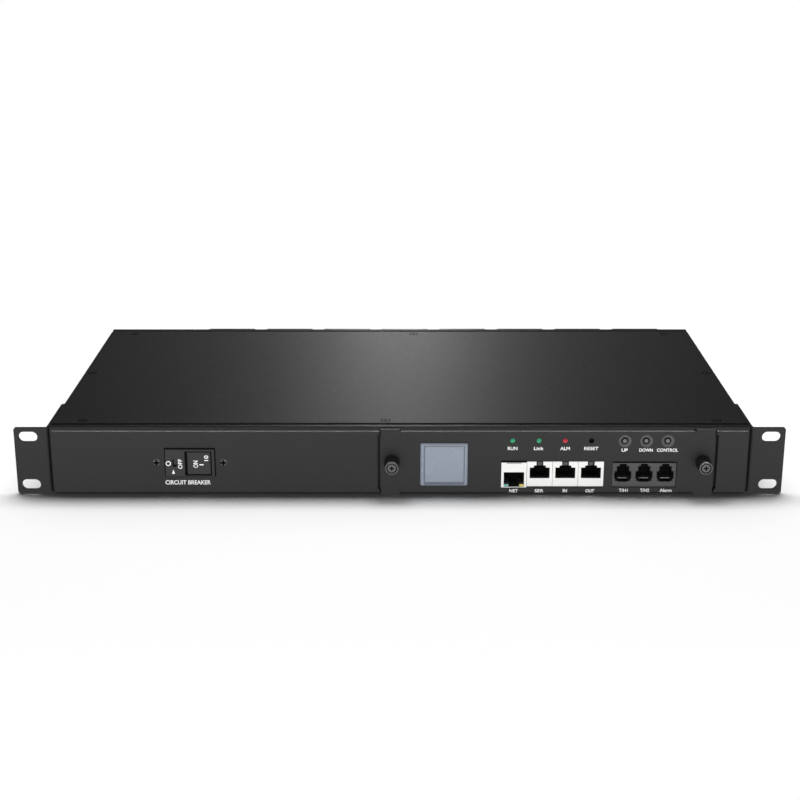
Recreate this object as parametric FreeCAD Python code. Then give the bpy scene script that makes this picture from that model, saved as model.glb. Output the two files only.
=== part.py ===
import FreeCAD, Part
import math
import os

# One-unit rack power distribution unit, in millimetres. X runs across the rack, +Y goes back
# from the rack rails and +Z is up. The origin is the centre of the four ear slots, on the plane
# where the ears meet the rails, so Z = 0 is the unit's mid-height.

Vector = FreeCAD.Vector

# Rack standard
ear_flange = 22.3
slot_inset = 8.75
slot_pitch_z = 31.75
slot_length = 11.8
slot_width = 6.8
unit_height = 44.0
ear_height = 43.6
ear_sheet = 2.0
ear_bend = 1.0
ear_leg = 52.0
ear_corner = 1.5
ear_leg_corner = 4.0

# Chassis sheet metal
chassis_width = 438.0
chassis_depth = 230.0
sheet = 1.2
bend = 0.2
frame_setback = 1.0
rim_depth = 5.0
cover_gap = 3.0
ledge = 13.0
foot = 14.0
wall_play = 0.2
cover_corner = 1.0
rear_seam = 0.4

# Fasteners
cover_screw_head = 5.4
cover_screw_shank = 3.0
cover_screw_length = 3.2
cover_screw_inset_side = 18.5
cover_screw_inset_front = 4.8
cover_screw_inset_rear = 6.2
cover_screw_edge = 5.4
cover_screw_front_middle = -9.0
cover_screw_rear_middle = 10.5
ear_screw_head = 7.4
ear_screw_shank = 4.0
ear_screw_length = 6.5
ear_screw_first = 14.0
ear_screw_pitch_y = 25.0
ear_screw_pitch_z = 26.0
cross_width = 0.7
cross_share = 0.55
cross_depth = 0.7
screw_play = 0.05
screw_sink = 0.4
hole_play = 0.2

# Front panels
panel_proud = 2.8
panel_height = 40.6
panel_side_gap = 1.6
right_panel_width = 19.4
seam = 1.1

# Circuit breaker
breaker_inset = 87.6
breaker_cut_width = 31.9
breaker_cut_height = 19.0
breaker_play = 0.5
breaker_proud = 1.5
breaker_body_width = 51.0
breaker_body_depth = 52.0
breaker_screw_pitch = 41.9
breaker_screw_head = 5.0
breaker_screw_shank = 3.0
breaker_screw_length = 9.0
breaker_screw_crown = 1.1
guard_width = 12.3
guard_sheet = 1.5
guard_slot_width = 2.7
guard_slot_height = 4.8
guard_slot_from_edge = 6.0
rocker_rim = 1.0
rocker_rim_top = 1.25
rocker_rim_bottom = 0.65
rocker_play = 0.6
rocker_lip = 1.5
rocker_recess = 0.2
rocker_wall = 2.5
rocker_pivot_depth = 4.5
rocker_trunnion = 1.2
rocker_trunnion_length = 0.8
rocker_well = 10.0
rocker_chamfer = 0.4

# Control module
plate_overhang = 13.4
plate_step = 1.0
plate_wide_height = 33.8
relief_width = 1.0
relief_height = 1.9
bay_play = 0.1
module_travel_room = 0.3

# Thumbscrews
thumb_inset = 7.8
thumb_shank = 3.0
knob_width = 8.7
knob_length = 7.0
knob_teeth = 30
knob_tooth = 0.22
knob_rim = 0.6
knob_groove_outer = 6.7
knob_boss = 5.2
knob_groove_depth = 1.0
knob_boss_recess = 0.3
thumb_cross_width = 1.0
collar_width = 9.5
collar_length = 4.2
collar_shank = 7.2
collar_front_wall = 0.8
collar_chamber = 5.8
knob_gap = 0.3
ring_width = 5.4
ring_sheet = 0.8
ring_back_gap = 0.1
ring_neck = 2.2
thread_play = 0.1
nut_width = 6.4
nut_length = 1.8

# Display
lens_from_left = 25.65
lens_z = -1.35
lens_width = 29.7
lens_height = 28.3
lens_corner = 1.0
lens_proud = 1.0
lens_chamfer = 0.8
lens_window_width = 24.6
lens_window_height = 24.2
lens_groove = 0.6
lens_groove_depth = 0.4
lens_seat = 0.6
lens_play = 0.15
lens_frame_margin = 1.0

# Lamps, reset and push buttons
lamp_count = 3
lamp_from_right = 112.4
lamp_pitch = 16.4
lamp_z = 14.3
lamp_width = 3.0
lamp_play = 0.1
reset_hole = 2.9
reset_recess = 2.8
button_count = 3
button_from_right = 42.3
button_pitch = 13.4
button_z = 14.0
button_width = 2.6
button_recess = 0.5
dish_width = 8.2
dish_hole = 4.2
dish_depth = 1.2
dish_wall = 0.6
switch_width = 6.0
switch_length = 3.6
switch_well = 2.1
switch_gap = 0.6
button_play = 0.1

# Jacks
jack_count = 4
jack_from_right = 111.15
jack_pitch = 16.1
jack_width = 15.9
jack_top = 0.5
jack_foot = 0.8
jack_face = 0.2
jack_length = 16.5
jack_hole_depth = 12.0
jack_play = 0.15
jack_shadow_gap = 0.65
plug_width = 12.5
plug_height = 7.1
jack_sill = 5.45
latch_shoulder_width = 7.5
latch_shoulder_height = 1.4
latch_width = 4.3
net_top = 1.0
net_drop = 1.15
net_brow = 7.6
net_plug_width = 12.8
net_latch_width = 6.2
net_latch_sill = 0.4
net_latch_height = 2.8
sensor_from_right = 29.25
sensor_pitch = 13.35
sensor_block = 40.0
sensor_cut = 40.5
sensor_top = -0.85
sensor_cut_top = 0.5
sensor_foot = 0.1
sensor_recess = 0.9
sensor_length = 13.0
sensor_hole_depth = 10.0
sensor_sill = 3.4
sensor_key_width = 6.3
sensor_key_height = 2.15
sensor_plug_width = 10.7
sensor_plug_height = 5.0
sensor_shoulder_width = 7.8
sensor_shoulder_height = 3.35
sensor_latch_width = 4.5
sensor_latch_height = 1.5
jack_contact_count = 8
sensor_contact_count = 6
contact_width = 0.4
contact_height = 0.35
contact_pitch = 1.02
contact_length = 8.0
contact_inset = 3.0

# Boards
board_sheet = 1.6
board_top = -16.8
board_width = 180.8
board_side_gap = 1.5
board_length = 102.0
board_front_gap = 1.6
guide_play = 0.2
guide_grip = 2.0
guide_wall = 3.4
guide_start = 20.0
guide_length = 78.0
guide_height = 8.8
bracket_width = 6.0
bracket_height = 10.8
bracket_length = 11.6
bracket_inset = 1.0
display_board_gap = 6.6
display_board_height = 15.4
display_board_top = 18.0
display_board_inset = 4.0
display_board_margin = 1.0
display_board_foot = -14.5
spacer_width = 4.0
board_plug_width = 64.0
board_plug_height = 8.8
board_plug_length = 10.0
socket_width = 68.0
socket_height = 10.0
socket_length = 9.7
backplane_width = 150.0
backplane_height = 30.0

# Components on the control board
component_gap = 6.0
transformer_width = 16.0
transformer_depth = 12.5
transformer_height = 6.2
processor_width = 18.0
processor_height = 1.6
memory_width = 11.4
memory_depth = 8.0
memory_height = 2.2
capacitor_width = 10.0
capacitor_height = 16.0
capacitor_pitch = 12.5
capacitor_round = 0.8
capacitor_groove = 0.6
capacitor_groove_height = 2.4
relay_width = 20.0
relay_depth = 15.4
relay_height = 15.2
relay_corner = 0.8
sounder_width = 12.0
sounder_height = 9.5
sounder_hole = 2.0
sounder_hole_depth = 3.0

# Rear outlets and contact strips
outlet_from_gland = 56.3
outlet_end_room = 15.0
outlet_pitch = 44.2
outlet_width = 36.4
outlet_height = 42.0
outlet_proud = 5.0
outlet_corner = 1.5
outlet_chamfer = 0.8
outlet_body_width = 31.0
outlet_body_height = 37.0
outlet_body_depth = 24.0
outlet_face_inset = 3.0
outlet_face_recess = 0.5
pin_slot_long = 9.0
pin_slot_short = 5.4
pin_slot_depth = 16.0
pin_slot_x = 9.0
pin_slot_z = -7.5
earth_slot_z = 9.5
contact_tail = 6.0
contact_tail_width = 6.0
contact_tail_height = 2.4
strip_height = 2.5
strip_sheet = 1.5
strip_overhang = 4.0

# Cord gland
gland_inset = 34.0
gland_bore = 15.0
gland_thread = 24.0
gland_hex = 29.0
gland_flange = 6.0
gland_outer_thread = 8.0
gland_inner_thread = 14.0
locknut_length = 5.0
gland_cap_length = 17.0
gland_cap_nose = 21.0
gland_cap_nose_length = 6.0

# Inner pieces
terminal_front = 120.0
terminal_width = 45.0
terminal_depth = 25.0
terminal_height = 24.0
terminal_pitch = 14.0
terminal_hole = 4.4
terminal_hole_depth = 8.0
supply_gap = 5.0
supply_front = 60.0
supply_width = 55.0
supply_depth = 38.0
supply_height = 22.0
supply_corner = 2.0
sensor_ring_from_supply = 28.0
sensor_ring_front = 150.0
sensor_ring_width = 28.0
sensor_ring_hole = 9.0
sensor_ring_depth = 12.0
lead_width = 3.6
lead_bend = 9.0

# Planes worked out from the sizes above
top = unit_height / 2
bottom = -top
half_width = chassis_width / 2
rack_width = chassis_width + 2 * ear_flange
slot_pitch_x = rack_width - 2 * slot_inset
ear_front = -ear_sheet
frame_front = ear_front + frame_setback
frame_back = frame_front + sheet
rear_face = frame_front + chassis_depth
rear_inner = rear_face - sheet
floor = bottom + sheet
seat = top - sheet
panel_face = ear_front - panel_proud
panel_back = panel_face + sheet
panel_half = panel_height / 2
fold_width = board_width + 2 * board_side_gap
fold_half = fold_width / 2
plate_width = fold_width + 2 * plate_overhang
plate_half = plate_width / 2
thumb_pitch = plate_width - 2 * thumb_inset
module_x = half_width - panel_side_gap - right_panel_width - seam + plate_step - plate_half
board_left = module_x - board_width / 2
board_right = module_x + board_width / 2
bay_half_width = fold_half + bay_play
bay_half_height = panel_half - sheet - wall_play
cover_front = frame_front + rim_depth + cover_gap
cover_rear = rear_face - rim_depth - cover_gap
display_board_front = panel_back + display_board_gap
board_bottom = board_top - board_sheet
board_front = panel_back + board_front_gap
board_rear = board_front + board_length
past = 1.0
same = 1e-6

# Places worked out from the sizes above
lens_x = board_left + lens_from_left
lamp_x = board_right - lamp_from_right
button_x = board_right - button_from_right
jack_x = board_right - jack_from_right
sensor_x = board_right - sensor_from_right
display_board_right = board_right - display_board_inset
display_board_foot_right = lens_x + lens_width / 2 + lens_frame_margin + display_board_margin
breaker_x = breaker_inset - half_width
gland_x = gland_inset - half_width
terminal_x = gland_x
outlet_first_x = gland_x + outlet_from_gland
outlet_room = half_width - outlet_end_room - outlet_width / 2 - outlet_first_x
outlet_count = 1 + int(outlet_room / outlet_pitch)
rear_seam_x = (gland_x + outlet_first_x) / 2
supply_x = board_left - guide_play - guide_wall - supply_gap - supply_width / 2
sensor_ring_x = supply_x - sensor_ring_from_supply


def span(centre, size):
    return (centre - size / 2, centre + size / 2)


def box(x, y, z):
    size = (x[1] - x[0], y[1] - y[0], z[1] - z[0])
    return Part.makeBox(*size, Vector(x[0], y[0], z[0]))


def rod(x, z, y, width):
    return Part.makeCylinder(width / 2, y[1] - y[0], Vector(x, y[0], z), Vector(0, 1, 0))


def taper(x, z, y, width_front, width_back):
    return Part.makeCone(width_front / 2, width_back / 2, y[1] - y[0], Vector(x, y[0], z), Vector(0, 1, 0))


def hexagon(x, z, y, across):
    corner = across / math.sqrt(3)
    turns = [math.radians(60 * step) for step in range(7)]
    points = [Vector(x + corner * math.cos(a), y[0], z + corner * math.sin(a)) for a in turns]
    return Part.Face(Part.makePolygon(points)).extrude(Vector(0, y[1] - y[0], 0))


def prism(outline, y):
    points = [Vector(x, y[0], z) for x, z in outline]
    return Part.Face(Part.makePolygon(points + points[:1])).extrude(Vector(0, y[1] - y[0], 0))


def stepped_hole(x, bottom_edge, steps, y):
    """A keyed opening from its bottom edge up; each step is (width, height)."""
    right = []
    level = bottom_edge
    for width, height in steps:
        right += [(x + width / 2, level), (x + width / 2, level + height)]
        level += height
    left = [(2 * x - px, z) for px, z in reversed(right)]
    return prism(right + left, y)


def fuse(first, *others):
    return first.multiFuse(list(others)).removeSplitter()


def cut(shape, *tools):
    return shape.cut(list(tools))


def round_edges(shape, radius, direction):
    """Fillet the straight edges of a block that run along one direction."""
    edges = [e for e in shape.Edges if abs(abs(e.tangentAt(e.FirstParameter).dot(direction)) - 1) < same]
    return shape.makeFillet(radius, edges)


def mirrored(shape, x=0.0):
    return shape.mirror(Vector(x, 0, 0), Vector(1, 0, 0))


def turned(shape, position, direction):
    """A shape made along +Z, moved so that +Z points along a direction."""
    copy = shape.copy()
    copy.Placement = FreeCAD.Placement(position, FreeCAD.Rotation(Vector(0, 0, 1), direction))
    return copy


def folded_sheet(line, thickness, radius, side, plane, extent):
    """A sheet folded at the corners of a line on one of its faces, then extended across it.

    The sheet lies on the left of the line where side is 1, and on its right where it is -1.
    """
    to_space = {
        "yz": lambda u, v: Vector(extent[0], u, v),
        "xz": lambda u, v: Vector(u, extent[0], v),
        "xy": lambda u, v: Vector(u, v, extent[0]),
    }[plane]
    across = {"yz": Vector(1, 0, 0), "xz": Vector(0, 1, 0), "xy": Vector(0, 0, 1)}[plane]
    points = [to_space(u, v) for u, v in line]
    normal = to_space(1, 0) - to_space(0, 0)
    normal = normal.cross(to_space(0, 1) - to_space(0, 0))

    def left_of(start, end):
        return normal.cross((end - start).normalize())

    near = [points[0]]
    far = [points[0] + left_of(points[0], points[1]) * thickness * side]
    for before, corner, after in zip(points, points[1:], points[2:]):
        into = (corner - before).normalize()
        out = (after - corner).normalize()
        turn = math.atan2(into.cross(out).dot(normal), into.dot(out))
        way = math.copysign(1, turn)
        near_radius = radius + thickness if way == side else radius
        far_radius = radius if way == side else radius + thickness
        reach = near_radius * math.tan(abs(turn) / 2)
        start = corner - into * reach
        centre = start + normal.cross(into) * way * near_radius
        spokes = [start - centre, corner - centre, corner + out * reach - centre]
        near.append([centre + Vector(s).normalize() * near_radius for s in spokes])
        far.append([centre + Vector(s).normalize() * far_radius for s in spokes])
    near.append(points[-1])
    far.append(points[-1] + left_of(points[-2], points[-1]) * thickness * side)

    def edges_along(chain):
        edges = []
        here = chain[0]
        for stop in chain[1:]:
            if isinstance(stop, list):
                edges.append(Part.makeLine(here, stop[0]))
                edges.append(Part.Arc(*stop).toShape())
                here = stop[2]
            else:
                edges.append(Part.makeLine(here, stop))
                here = stop
        return edges

    back = [stop[::-1] if isinstance(stop, list) else stop for stop in reversed(far)]
    edges = edges_along(near) + [Part.makeLine(near[-1], back[0])]
    edges += edges_along(back) + [Part.makeLine(back[-1], near[0])]
    return Part.Face(Part.Wire(edges)).extrude(across * (extent[1] - extent[0]))


def cross_recess(head, width, depth):
    """A cross cut into a screw head whose top is at Z = 0."""
    long_side = span(0, head * cross_share)
    short_side = span(0, width)
    sink = (-depth, past)
    return fuse(box(long_side, short_side, sink), box(short_side, long_side, sink))


def countersunk_screw(head, shank, length):
    """A screw whose head ends a little below Z = 0."""
    sink = (head - shank) / 2
    cone = Part.makeCone(shank / 2, head / 2, sink, Vector(0, 0, -sink))
    stem = Part.makeCylinder(shank / 2, length, Vector(0, 0, -length))
    screw = cut(fuse(cone, stem), cross_recess(head, cross_width, cross_depth))
    screw.translate(Vector(0, 0, -screw_sink))
    return screw


def countersink(head, shank, depth):
    """The room for a countersunk screw in sheets of the given total depth."""
    sink = (head - shank) / 2 + screw_sink
    mouth = head / 2 + screw_sink + screw_play
    cone = Part.makeCone(shank / 2 + screw_play, mouth, sink, Vector(0, 0, -sink))
    stem = Part.makeCylinder(shank / 2 + screw_play, depth, Vector(0, 0, -depth))
    return fuse(cone, stem)


# Chassis

def cover_screw_places():
    side = half_width - cover_screw_inset_side
    edge = half_width - cover_screw_edge
    front = cover_front + cover_screw_inset_front
    rear = cover_rear - cover_screw_inset_rear
    middle = (cover_front + cover_rear) / 2
    front_row = [(x, front) for x in (-side, cover_screw_front_middle, side)]
    rear_row = [(x, rear) for x in (-side, cover_screw_rear_middle, side)]
    return [Vector(x, y, top) for x, y in front_row + [(-edge, middle), (edge, middle)] + rear_row]


def cover_screw_room():
    room = countersink(cover_screw_head, cover_screw_shank, cover_screw_length + past)
    return [turned(room, place, Vector(0, 0, 1)) for place in cover_screw_places()]


def ear_screw_places():
    ys = [ear_front + ear_screw_first + ear_screw_pitch_y * step for step in (0, 1)]
    zs = [ear_screw_pitch_z / 2, -ear_screw_pitch_z / 2]
    return [(y, z) for y in ys for z in zs]


def on_both_sides(shape):
    """One copy of a shape at each ear screw, pointing out of the chassis."""
    reach = half_width + ear_sheet
    right = [turned(shape, Vector(reach, y, z), Vector(1, 0, 0)) for y, z in ear_screw_places()]
    left = [turned(shape, Vector(-reach, y, z), Vector(-1, 0, 0)) for y, z in ear_screw_places()]
    return right + left


def ear_screw_room():
    return on_both_sides(countersink(ear_screw_head, ear_screw_shank, ear_screw_length + past))


def end_wall(face, inward, x):
    """Front frame or rear panel: a foot on the floor, a wall, a rim strip and a joggled ledge."""
    ramp = sheet
    line = [
        (face + inward * foot, floor),
        (face, floor),
        (face, top),
        (face + inward * rim_depth, top),
        (face + inward * (rim_depth + ramp), seat),
        (face + inward * (rim_depth + ramp + ledge), seat),
    ]
    wall = folded_sheet(line, sheet, bend, -inward, "yz", x)
    inner = face + inward * sheet
    end = face + inward * (foot + ledge + rim_depth)
    depth = (min(inner, end), max(inner, end))
    inside = half_width - sheet - bend
    side = box((inside, half_width + past), depth, (bottom, seat))
    return cut(wall, side, mirrored(side))


def chassis_tray():
    bare = [(half_width, seat), (half_width, bottom), (-half_width, bottom), (-half_width, seat)]
    flanged = [(half_width - ledge, seat)] + bare + [(ledge - half_width, seat)]
    ledge_room = rim_depth + sheet + ledge + wall_play
    y = (frame_front + ledge_room, rear_face - ledge_room)
    ends = [(frame_front, y[0]), (y[1], rear_face)]
    middle = folded_sheet(flanged, sheet, bend, -1, "xz", y)
    tray = fuse(middle, *[folded_sheet(bare, sheet, bend, -1, "xz", end) for end in ends])
    across = span(0, chassis_width + past)
    front = box(across, (frame_front - past, frame_back), (floor, top))
    rear = box(across, (rear_inner, rear_face + past), (floor, top))
    return cut(tray, front, rear, *cover_screw_room(), *ear_screw_room())


def front_frame():
    frame = end_wall(frame_front, 1, span(0, chassis_width))
    y = (frame_front - past, frame_back + past)
    bay = box(span(module_x, 2 * bay_half_width), y, span(0, 2 * bay_half_height))
    breaker = box(span(breaker_x, breaker_body_width + 2 * breaker_play), y,
                  span(0, breaker_cut_height + 2 * breaker_play))
    threads = [rod(x, 0, y, thumb_shank + 2 * thread_play) for x in thumb_places()]
    return cut(frame, bay, breaker, *threads, *cover_screw_room())


def rear_entry_plate():
    """The end of the rear wall that carries the cord gland."""
    plate = end_wall(rear_face, -1, (-half_width, rear_seam_x - rear_seam / 2))
    hole = rod(gland_x, 0, (rear_inner - past, rear_face + past), gland_thread + 2 * hole_play)
    return cut(plate, hole, *cover_screw_room())


def rear_panel():
    panel = end_wall(rear_face, -1, (rear_seam_x + rear_seam / 2, half_width))
    y = (rear_inner - past, rear_face + past)
    width = outlet_body_width + 2 * hole_play
    height = outlet_body_height + 2 * hole_play
    holes = [box(span(x, width), y, span(0, height)) for x in outlet_places()]
    return cut(panel, *holes, *cover_screw_room())


def top_cover():
    plate = box(span(0, chassis_width), (cover_front, cover_rear), (seat, top))
    plate = round_edges(plate, cover_corner, Vector(0, 0, 1))
    return cut(plate, *cover_screw_room())


def cover_screws():
    screw = countersunk_screw(cover_screw_head, cover_screw_shank, cover_screw_length)
    return [turned(screw, place, Vector(0, 0, 1)) for place in cover_screw_places()]


def rack_ear():
    leg_end = ear_front + ear_leg
    line = [(half_width, leg_end), (half_width, ear_front), (rack_width / 2, ear_front)]
    z = span(0, ear_height)
    ear = folded_sheet(line, ear_sheet, ear_bend, 1, "xy", z)
    short = [e for e in ear.Edges if abs(e.Length - ear_sheet) < same]
    ear = ear.makeFillet(ear_corner, [e for e in short if abs(e.CenterOfMass.x - rack_width / 2) < same])
    short = [e for e in ear.Edges if abs(e.Length - ear_sheet) < same]
    ear = ear.makeChamfer(ear_leg_corner, [e for e in short if abs(e.CenterOfMass.y - leg_end) < same])
    y = (ear_front - past, past)
    straight = (slot_length - slot_width) / 2
    slots = []
    for z in (slot_pitch_z / 2, -slot_pitch_z / 2):
        x = slot_pitch_x / 2
        ends = [rod(x + shift, z, y, slot_width) for shift in (-straight, straight)]
        slots.append(fuse(box(span(x, 2 * straight), y, span(z, slot_width)), *ends))
    return cut(ear, *slots, *ear_screw_room())


def ear_screws():
    return on_both_sides(countersunk_screw(ear_screw_head, ear_screw_shank, ear_screw_length))


# Front panels and breaker

def panel_channel(x):
    """The front sheet between two X positions, folded back to the chassis above and below."""
    line = [
        (frame_front, -panel_half),
        (panel_face, -panel_half),
        (panel_face, panel_half),
        (frame_front, panel_half),
    ]
    return folded_sheet(line, sheet, bend, -1, "yz", x)


def seam_notch(edge, way):
    """Room in a neighbouring panel for the wide middle of the module's plate."""
    x = sorted((edge, edge + way * plate_step))
    return box(x, (panel_face - past, frame_front), span(0, plate_wide_height + 2 * seam))


def front_panel_left():
    edge = module_x - plate_half + plate_step - seam
    panel = panel_channel((-half_width + panel_side_gap, edge))
    y = (panel_face - past, panel_back + past)
    opening = box(span(breaker_x, breaker_cut_width), y, span(0, breaker_cut_height))
    screws = [rod(x, 0, y, breaker_screw_shank + 2 * hole_play) for x in breaker_screw_places()]
    return cut(panel, seam_notch(edge, -1), opening, *screws)


def front_panel_right():
    edge = module_x + plate_half - plate_step + seam
    return cut(panel_channel((edge, half_width - panel_side_gap)), seam_notch(edge, 1))


def breaker_screw_places():
    return span(breaker_x, breaker_screw_pitch)


breaker_face = panel_face - breaker_proud
breaker_width = breaker_cut_width - 2 * breaker_play
breaker_height = breaker_cut_height - 2 * breaker_play
breaker_left = breaker_x - breaker_width / 2
breaker_right = breaker_x + breaker_width / 2
guard_right = breaker_left + guard_width
guard_back = breaker_face + guard_sheet
rocker_well_z = (rocker_rim_bottom - breaker_height / 2, breaker_height / 2 - rocker_rim_top)
rocker_z = (rocker_well_z[0] + rocker_play, rocker_well_z[1] - rocker_play)
rocker_height = rocker_z[1] - rocker_z[0]
pivot_x = guard_right + rocker_lip + rocker_play
pivot_y = breaker_face + rocker_pivot_depth


def breaker_body():
    bezel = box((breaker_left, breaker_right), (breaker_face, panel_back), span(0, breaker_height))
    front_edges = [e for e in bezel.Edges if abs(e.CenterOfMass.y - breaker_face) < same]
    bezel = bezel.makeChamfer(rocker_chamfer, front_edges)
    case = box(span(breaker_x, breaker_body_width), (panel_back, panel_back + breaker_body_depth),
               span(0, breaker_cut_height))
    body = fuse(bezel, case)
    well_x = (breaker_left + rocker_rim, breaker_right - rocker_rim - rocker_play)
    well = box(well_x, (guard_back, guard_back + rocker_well), rocker_well_z)
    window = box((guard_right, well_x[1]), (breaker_face - past, guard_back + past), rocker_well_z)
    slot_x = span(breaker_left + guard_slot_from_edge, guard_slot_width)
    slot = box(slot_x, (breaker_face - past, guard_back + past), span(0, guard_slot_height))
    seat_start = Vector(pivot_x, pivot_y, rocker_well_z[0] - rocker_trunnion_length)
    seat_length = rocker_height + 2 * (rocker_play + rocker_trunnion_length)
    seats = Part.makeCylinder(rocker_trunnion + screw_play, seat_length, seat_start)
    y = (panel_back - past, panel_face + breaker_screw_length + hole_play)
    threads = [rod(x, 0, y, breaker_screw_shank + 2 * screw_play) for x in breaker_screw_places()]
    return cut(body, well, window, slot, seats, *threads)


def breaker_rocker():
    """A plate stepped down under the guard, on two trunnions, shown switched on."""
    face = breaker_face + rocker_recess
    low_face = guard_back + rocker_recess
    right = breaker_right - rocker_rim - 2 * rocker_play
    left = breaker_left + rocker_rim + rocker_play
    step = pivot_x - rocker_play
    keel = pivot_y + rocker_trunnion
    outline = [
        (right, face),
        (step, face),
        (step, low_face),
        (left, low_face),
        (left, low_face + rocker_wall),
        (pivot_x - 2 * rocker_trunnion, low_face + rocker_wall),
        (pivot_x - rocker_trunnion, keel),
        (pivot_x + rocker_trunnion, keel),
        (pivot_x + 2 * rocker_trunnion, low_face + rocker_wall),
        (right, face + rocker_wall),
    ]
    points = [Vector(x, y, rocker_z[0]) for x, y in outline]
    plate = Part.Face(Part.makePolygon(points + points[:1])).extrude(Vector(0, 0, rocker_height))
    front_edges = [e for e in plate.Edges if abs(e.CenterOfMass.y - face) < same]
    plate = plate.makeChamfer(rocker_chamfer, front_edges)
    reach = rocker_play + rocker_trunnion_length - screw_play
    axle_start = Vector(pivot_x, pivot_y, rocker_z[0] - reach)
    axle = Part.makeCylinder(rocker_trunnion, rocker_height + 2 * reach, axle_start)
    return fuse(plate, axle)


def breaker_screws():
    crown = breaker_screw_crown
    radius = (breaker_screw_head ** 2 / 4 + crown ** 2) / (2 * crown)
    ball = Part.makeSphere(radius, Vector(0, 0, crown - radius))
    head = ball.common(Part.makeCylinder(breaker_screw_head, crown))
    tip = Vector(0, 0, -breaker_screw_length)
    stem = Part.makeCylinder(breaker_screw_shank / 2, breaker_screw_length, tip)
    recess = cross_recess(breaker_screw_head, cross_width, cross_depth)
    recess.translate(Vector(0, 0, crown))
    screw = cut(fuse(head, stem), recess)
    return [turned(screw, Vector(x, panel_face, 0), Vector(0, -1, 0)) for x in breaker_screw_places()]


# Control module

def thumb_places():
    return span(module_x, thumb_pitch)


def lamp_places():
    return [lamp_x + lamp_pitch * step for step in range(lamp_count)]


def button_places():
    return [button_x + button_pitch * step for step in range(button_count)]


reset_x = lamp_x + lamp_pitch * lamp_count


def module_faceplate():
    core = panel_channel(span(module_x, fold_width))
    tab_x = (module_x + fold_half, module_x + plate_half - plate_step)
    tab = box(tab_x, (panel_face, panel_back), span(0, ear_height))
    side = module_x + plate_half
    edge = [(side, frame_front), (side, panel_face), (tab_x[0], panel_face)]
    wing = folded_sheet(edge, sheet, bend, -1, "xy", span(0, plate_wide_height))
    y = (panel_face - past, frame_front + past)
    reliefs = []
    for z in (top - relief_height, bottom):
        reliefs.append(box(span(module_x + fold_half, relief_width), y, (z, z + relief_height)))
    right = fuse(tab, wing)
    plate = fuse(core, right, mirrored(right, module_x))
    dish_y = (panel_back, panel_face + dish_depth + dish_wall)
    dish_outside = (dish_width + 2 * dish_wall, dish_hole + 2 * dish_wall)
    dishes = [taper(x, button_z, dish_y, *dish_outside) for x in button_places()]
    plate = fuse(plate, *dishes)
    bores = [taper(x, button_z, (panel_face, panel_face + dish_depth), dish_width, dish_hole)
             for x in button_places()]
    bores += [rod(x, button_z, y, dish_hole) for x in button_places()]
    bores += [rod(x, lamp_z, y, lamp_width + 2 * lamp_play) for x in lamp_places()]
    bores.append(rod(reset_x, lamp_z, y, reset_hole))
    bores += [rod(x, 0, y, collar_shank) for x in thumb_places()]
    windows = [lens_block(lens_play, y)]
    net = jack_places()[0]
    rest = jack_places()[1:]
    gap = jack_width / 2 + jack_play
    windows.append(box((net - gap, net + gap), y, (board_top - jack_play, net_top + jack_play)))
    window_foot = board_top + jack_foot - jack_shadow_gap
    windows.append(box((net, rest[-1] + gap), y, (window_foot, jack_top + jack_play)))
    windows.append(box(span(sensor_x, sensor_cut), y, (board_top + sensor_foot - jack_play, sensor_cut_top)))
    return cut(plate, *reliefs, *[mirrored(r, module_x) for r in reliefs], *bores, *windows)


def control_board():
    return box((board_left, board_right), (board_front, board_rear), (board_bottom, board_top))


def board_mounts():
    """Brackets that hold the control board to the faceplate, and posts that hold the display board."""
    left = board_left + bracket_inset
    line = [
        (panel_back, board_top + bracket_height),
        (panel_back, board_top),
        (panel_back + bracket_length, board_top),
    ]
    bracket = folded_sheet(line, sheet, bend, 1, "yz", (left, left + bracket_width))
    y = (panel_back, display_board_front)
    inset = spacer_width / 2 + bracket_inset
    between = (reset_x + button_x) / 2
    places = [
        (lens_x, display_board_top - spacer_width / 2),
        (between, button_z),
        (display_board_right - inset, button_z),
    ]
    return [bracket, mirrored(bracket, module_x)] + [rod(x, z, y, spacer_width) for x, z in places]


def display_board():
    y = (display_board_front, display_board_front + board_sheet)
    left = board_left + bracket_inset + bracket_width + bracket_inset
    strip_z = (display_board_top - display_board_height, display_board_top)
    strip = box((left, display_board_right), y, strip_z)
    leg = box((left, display_board_foot_right), y, (display_board_foot, display_board_top))
    return fuse(strip, leg)


lens_back = panel_back + lens_seat


def rounded_block(width, height, corner, y):
    """A block at the display with its corners rounded."""
    return round_edges(box(span(lens_x, width), y, span(lens_z, height)), corner, Vector(0, 1, 0))


def lens_block(play, y):
    return rounded_block(lens_width + 2 * play, lens_height + 2 * play, lens_corner + play, y)


def lcd_lens():
    """A bevelled lens with a groove around its viewing window."""
    face = panel_face - lens_proud
    lens = lens_block(0, (face, lens_back))
    lens = lens.makeChamfer(lens_chamfer, [e for e in lens.Edges if abs(e.BoundBox.YMax - face) < same])
    y = (face - past, face + lens_groove_depth)
    edge = 2 * lens_groove
    window = rounded_block(lens_window_width, lens_window_height, lens_corner, y)
    around = rounded_block(lens_window_width + edge, lens_window_height + edge, lens_corner + lens_groove, y)
    return cut(lens, cut(around, window))


def lcd_frame():
    """The display's housing: it carries the lens and stands on the display board."""
    y = (lens_back, display_board_front)
    low = max(lens_z - lens_height / 2 - lens_frame_margin, board_top + lens_play)
    high = lens_z + lens_height / 2 + lens_frame_margin
    return box(span(lens_x, lens_width + 2 * lens_frame_margin), y, (low, high))


def status_lamp(x):
    stem = rod(x, lamp_z, (panel_face, display_board_front), lamp_width)
    dome = Part.makeSphere(lamp_width / 2, Vector(x, panel_face + lamp_width / 4, lamp_z))
    return fuse(stem, dome)


switch_face = display_board_front - switch_length


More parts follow.
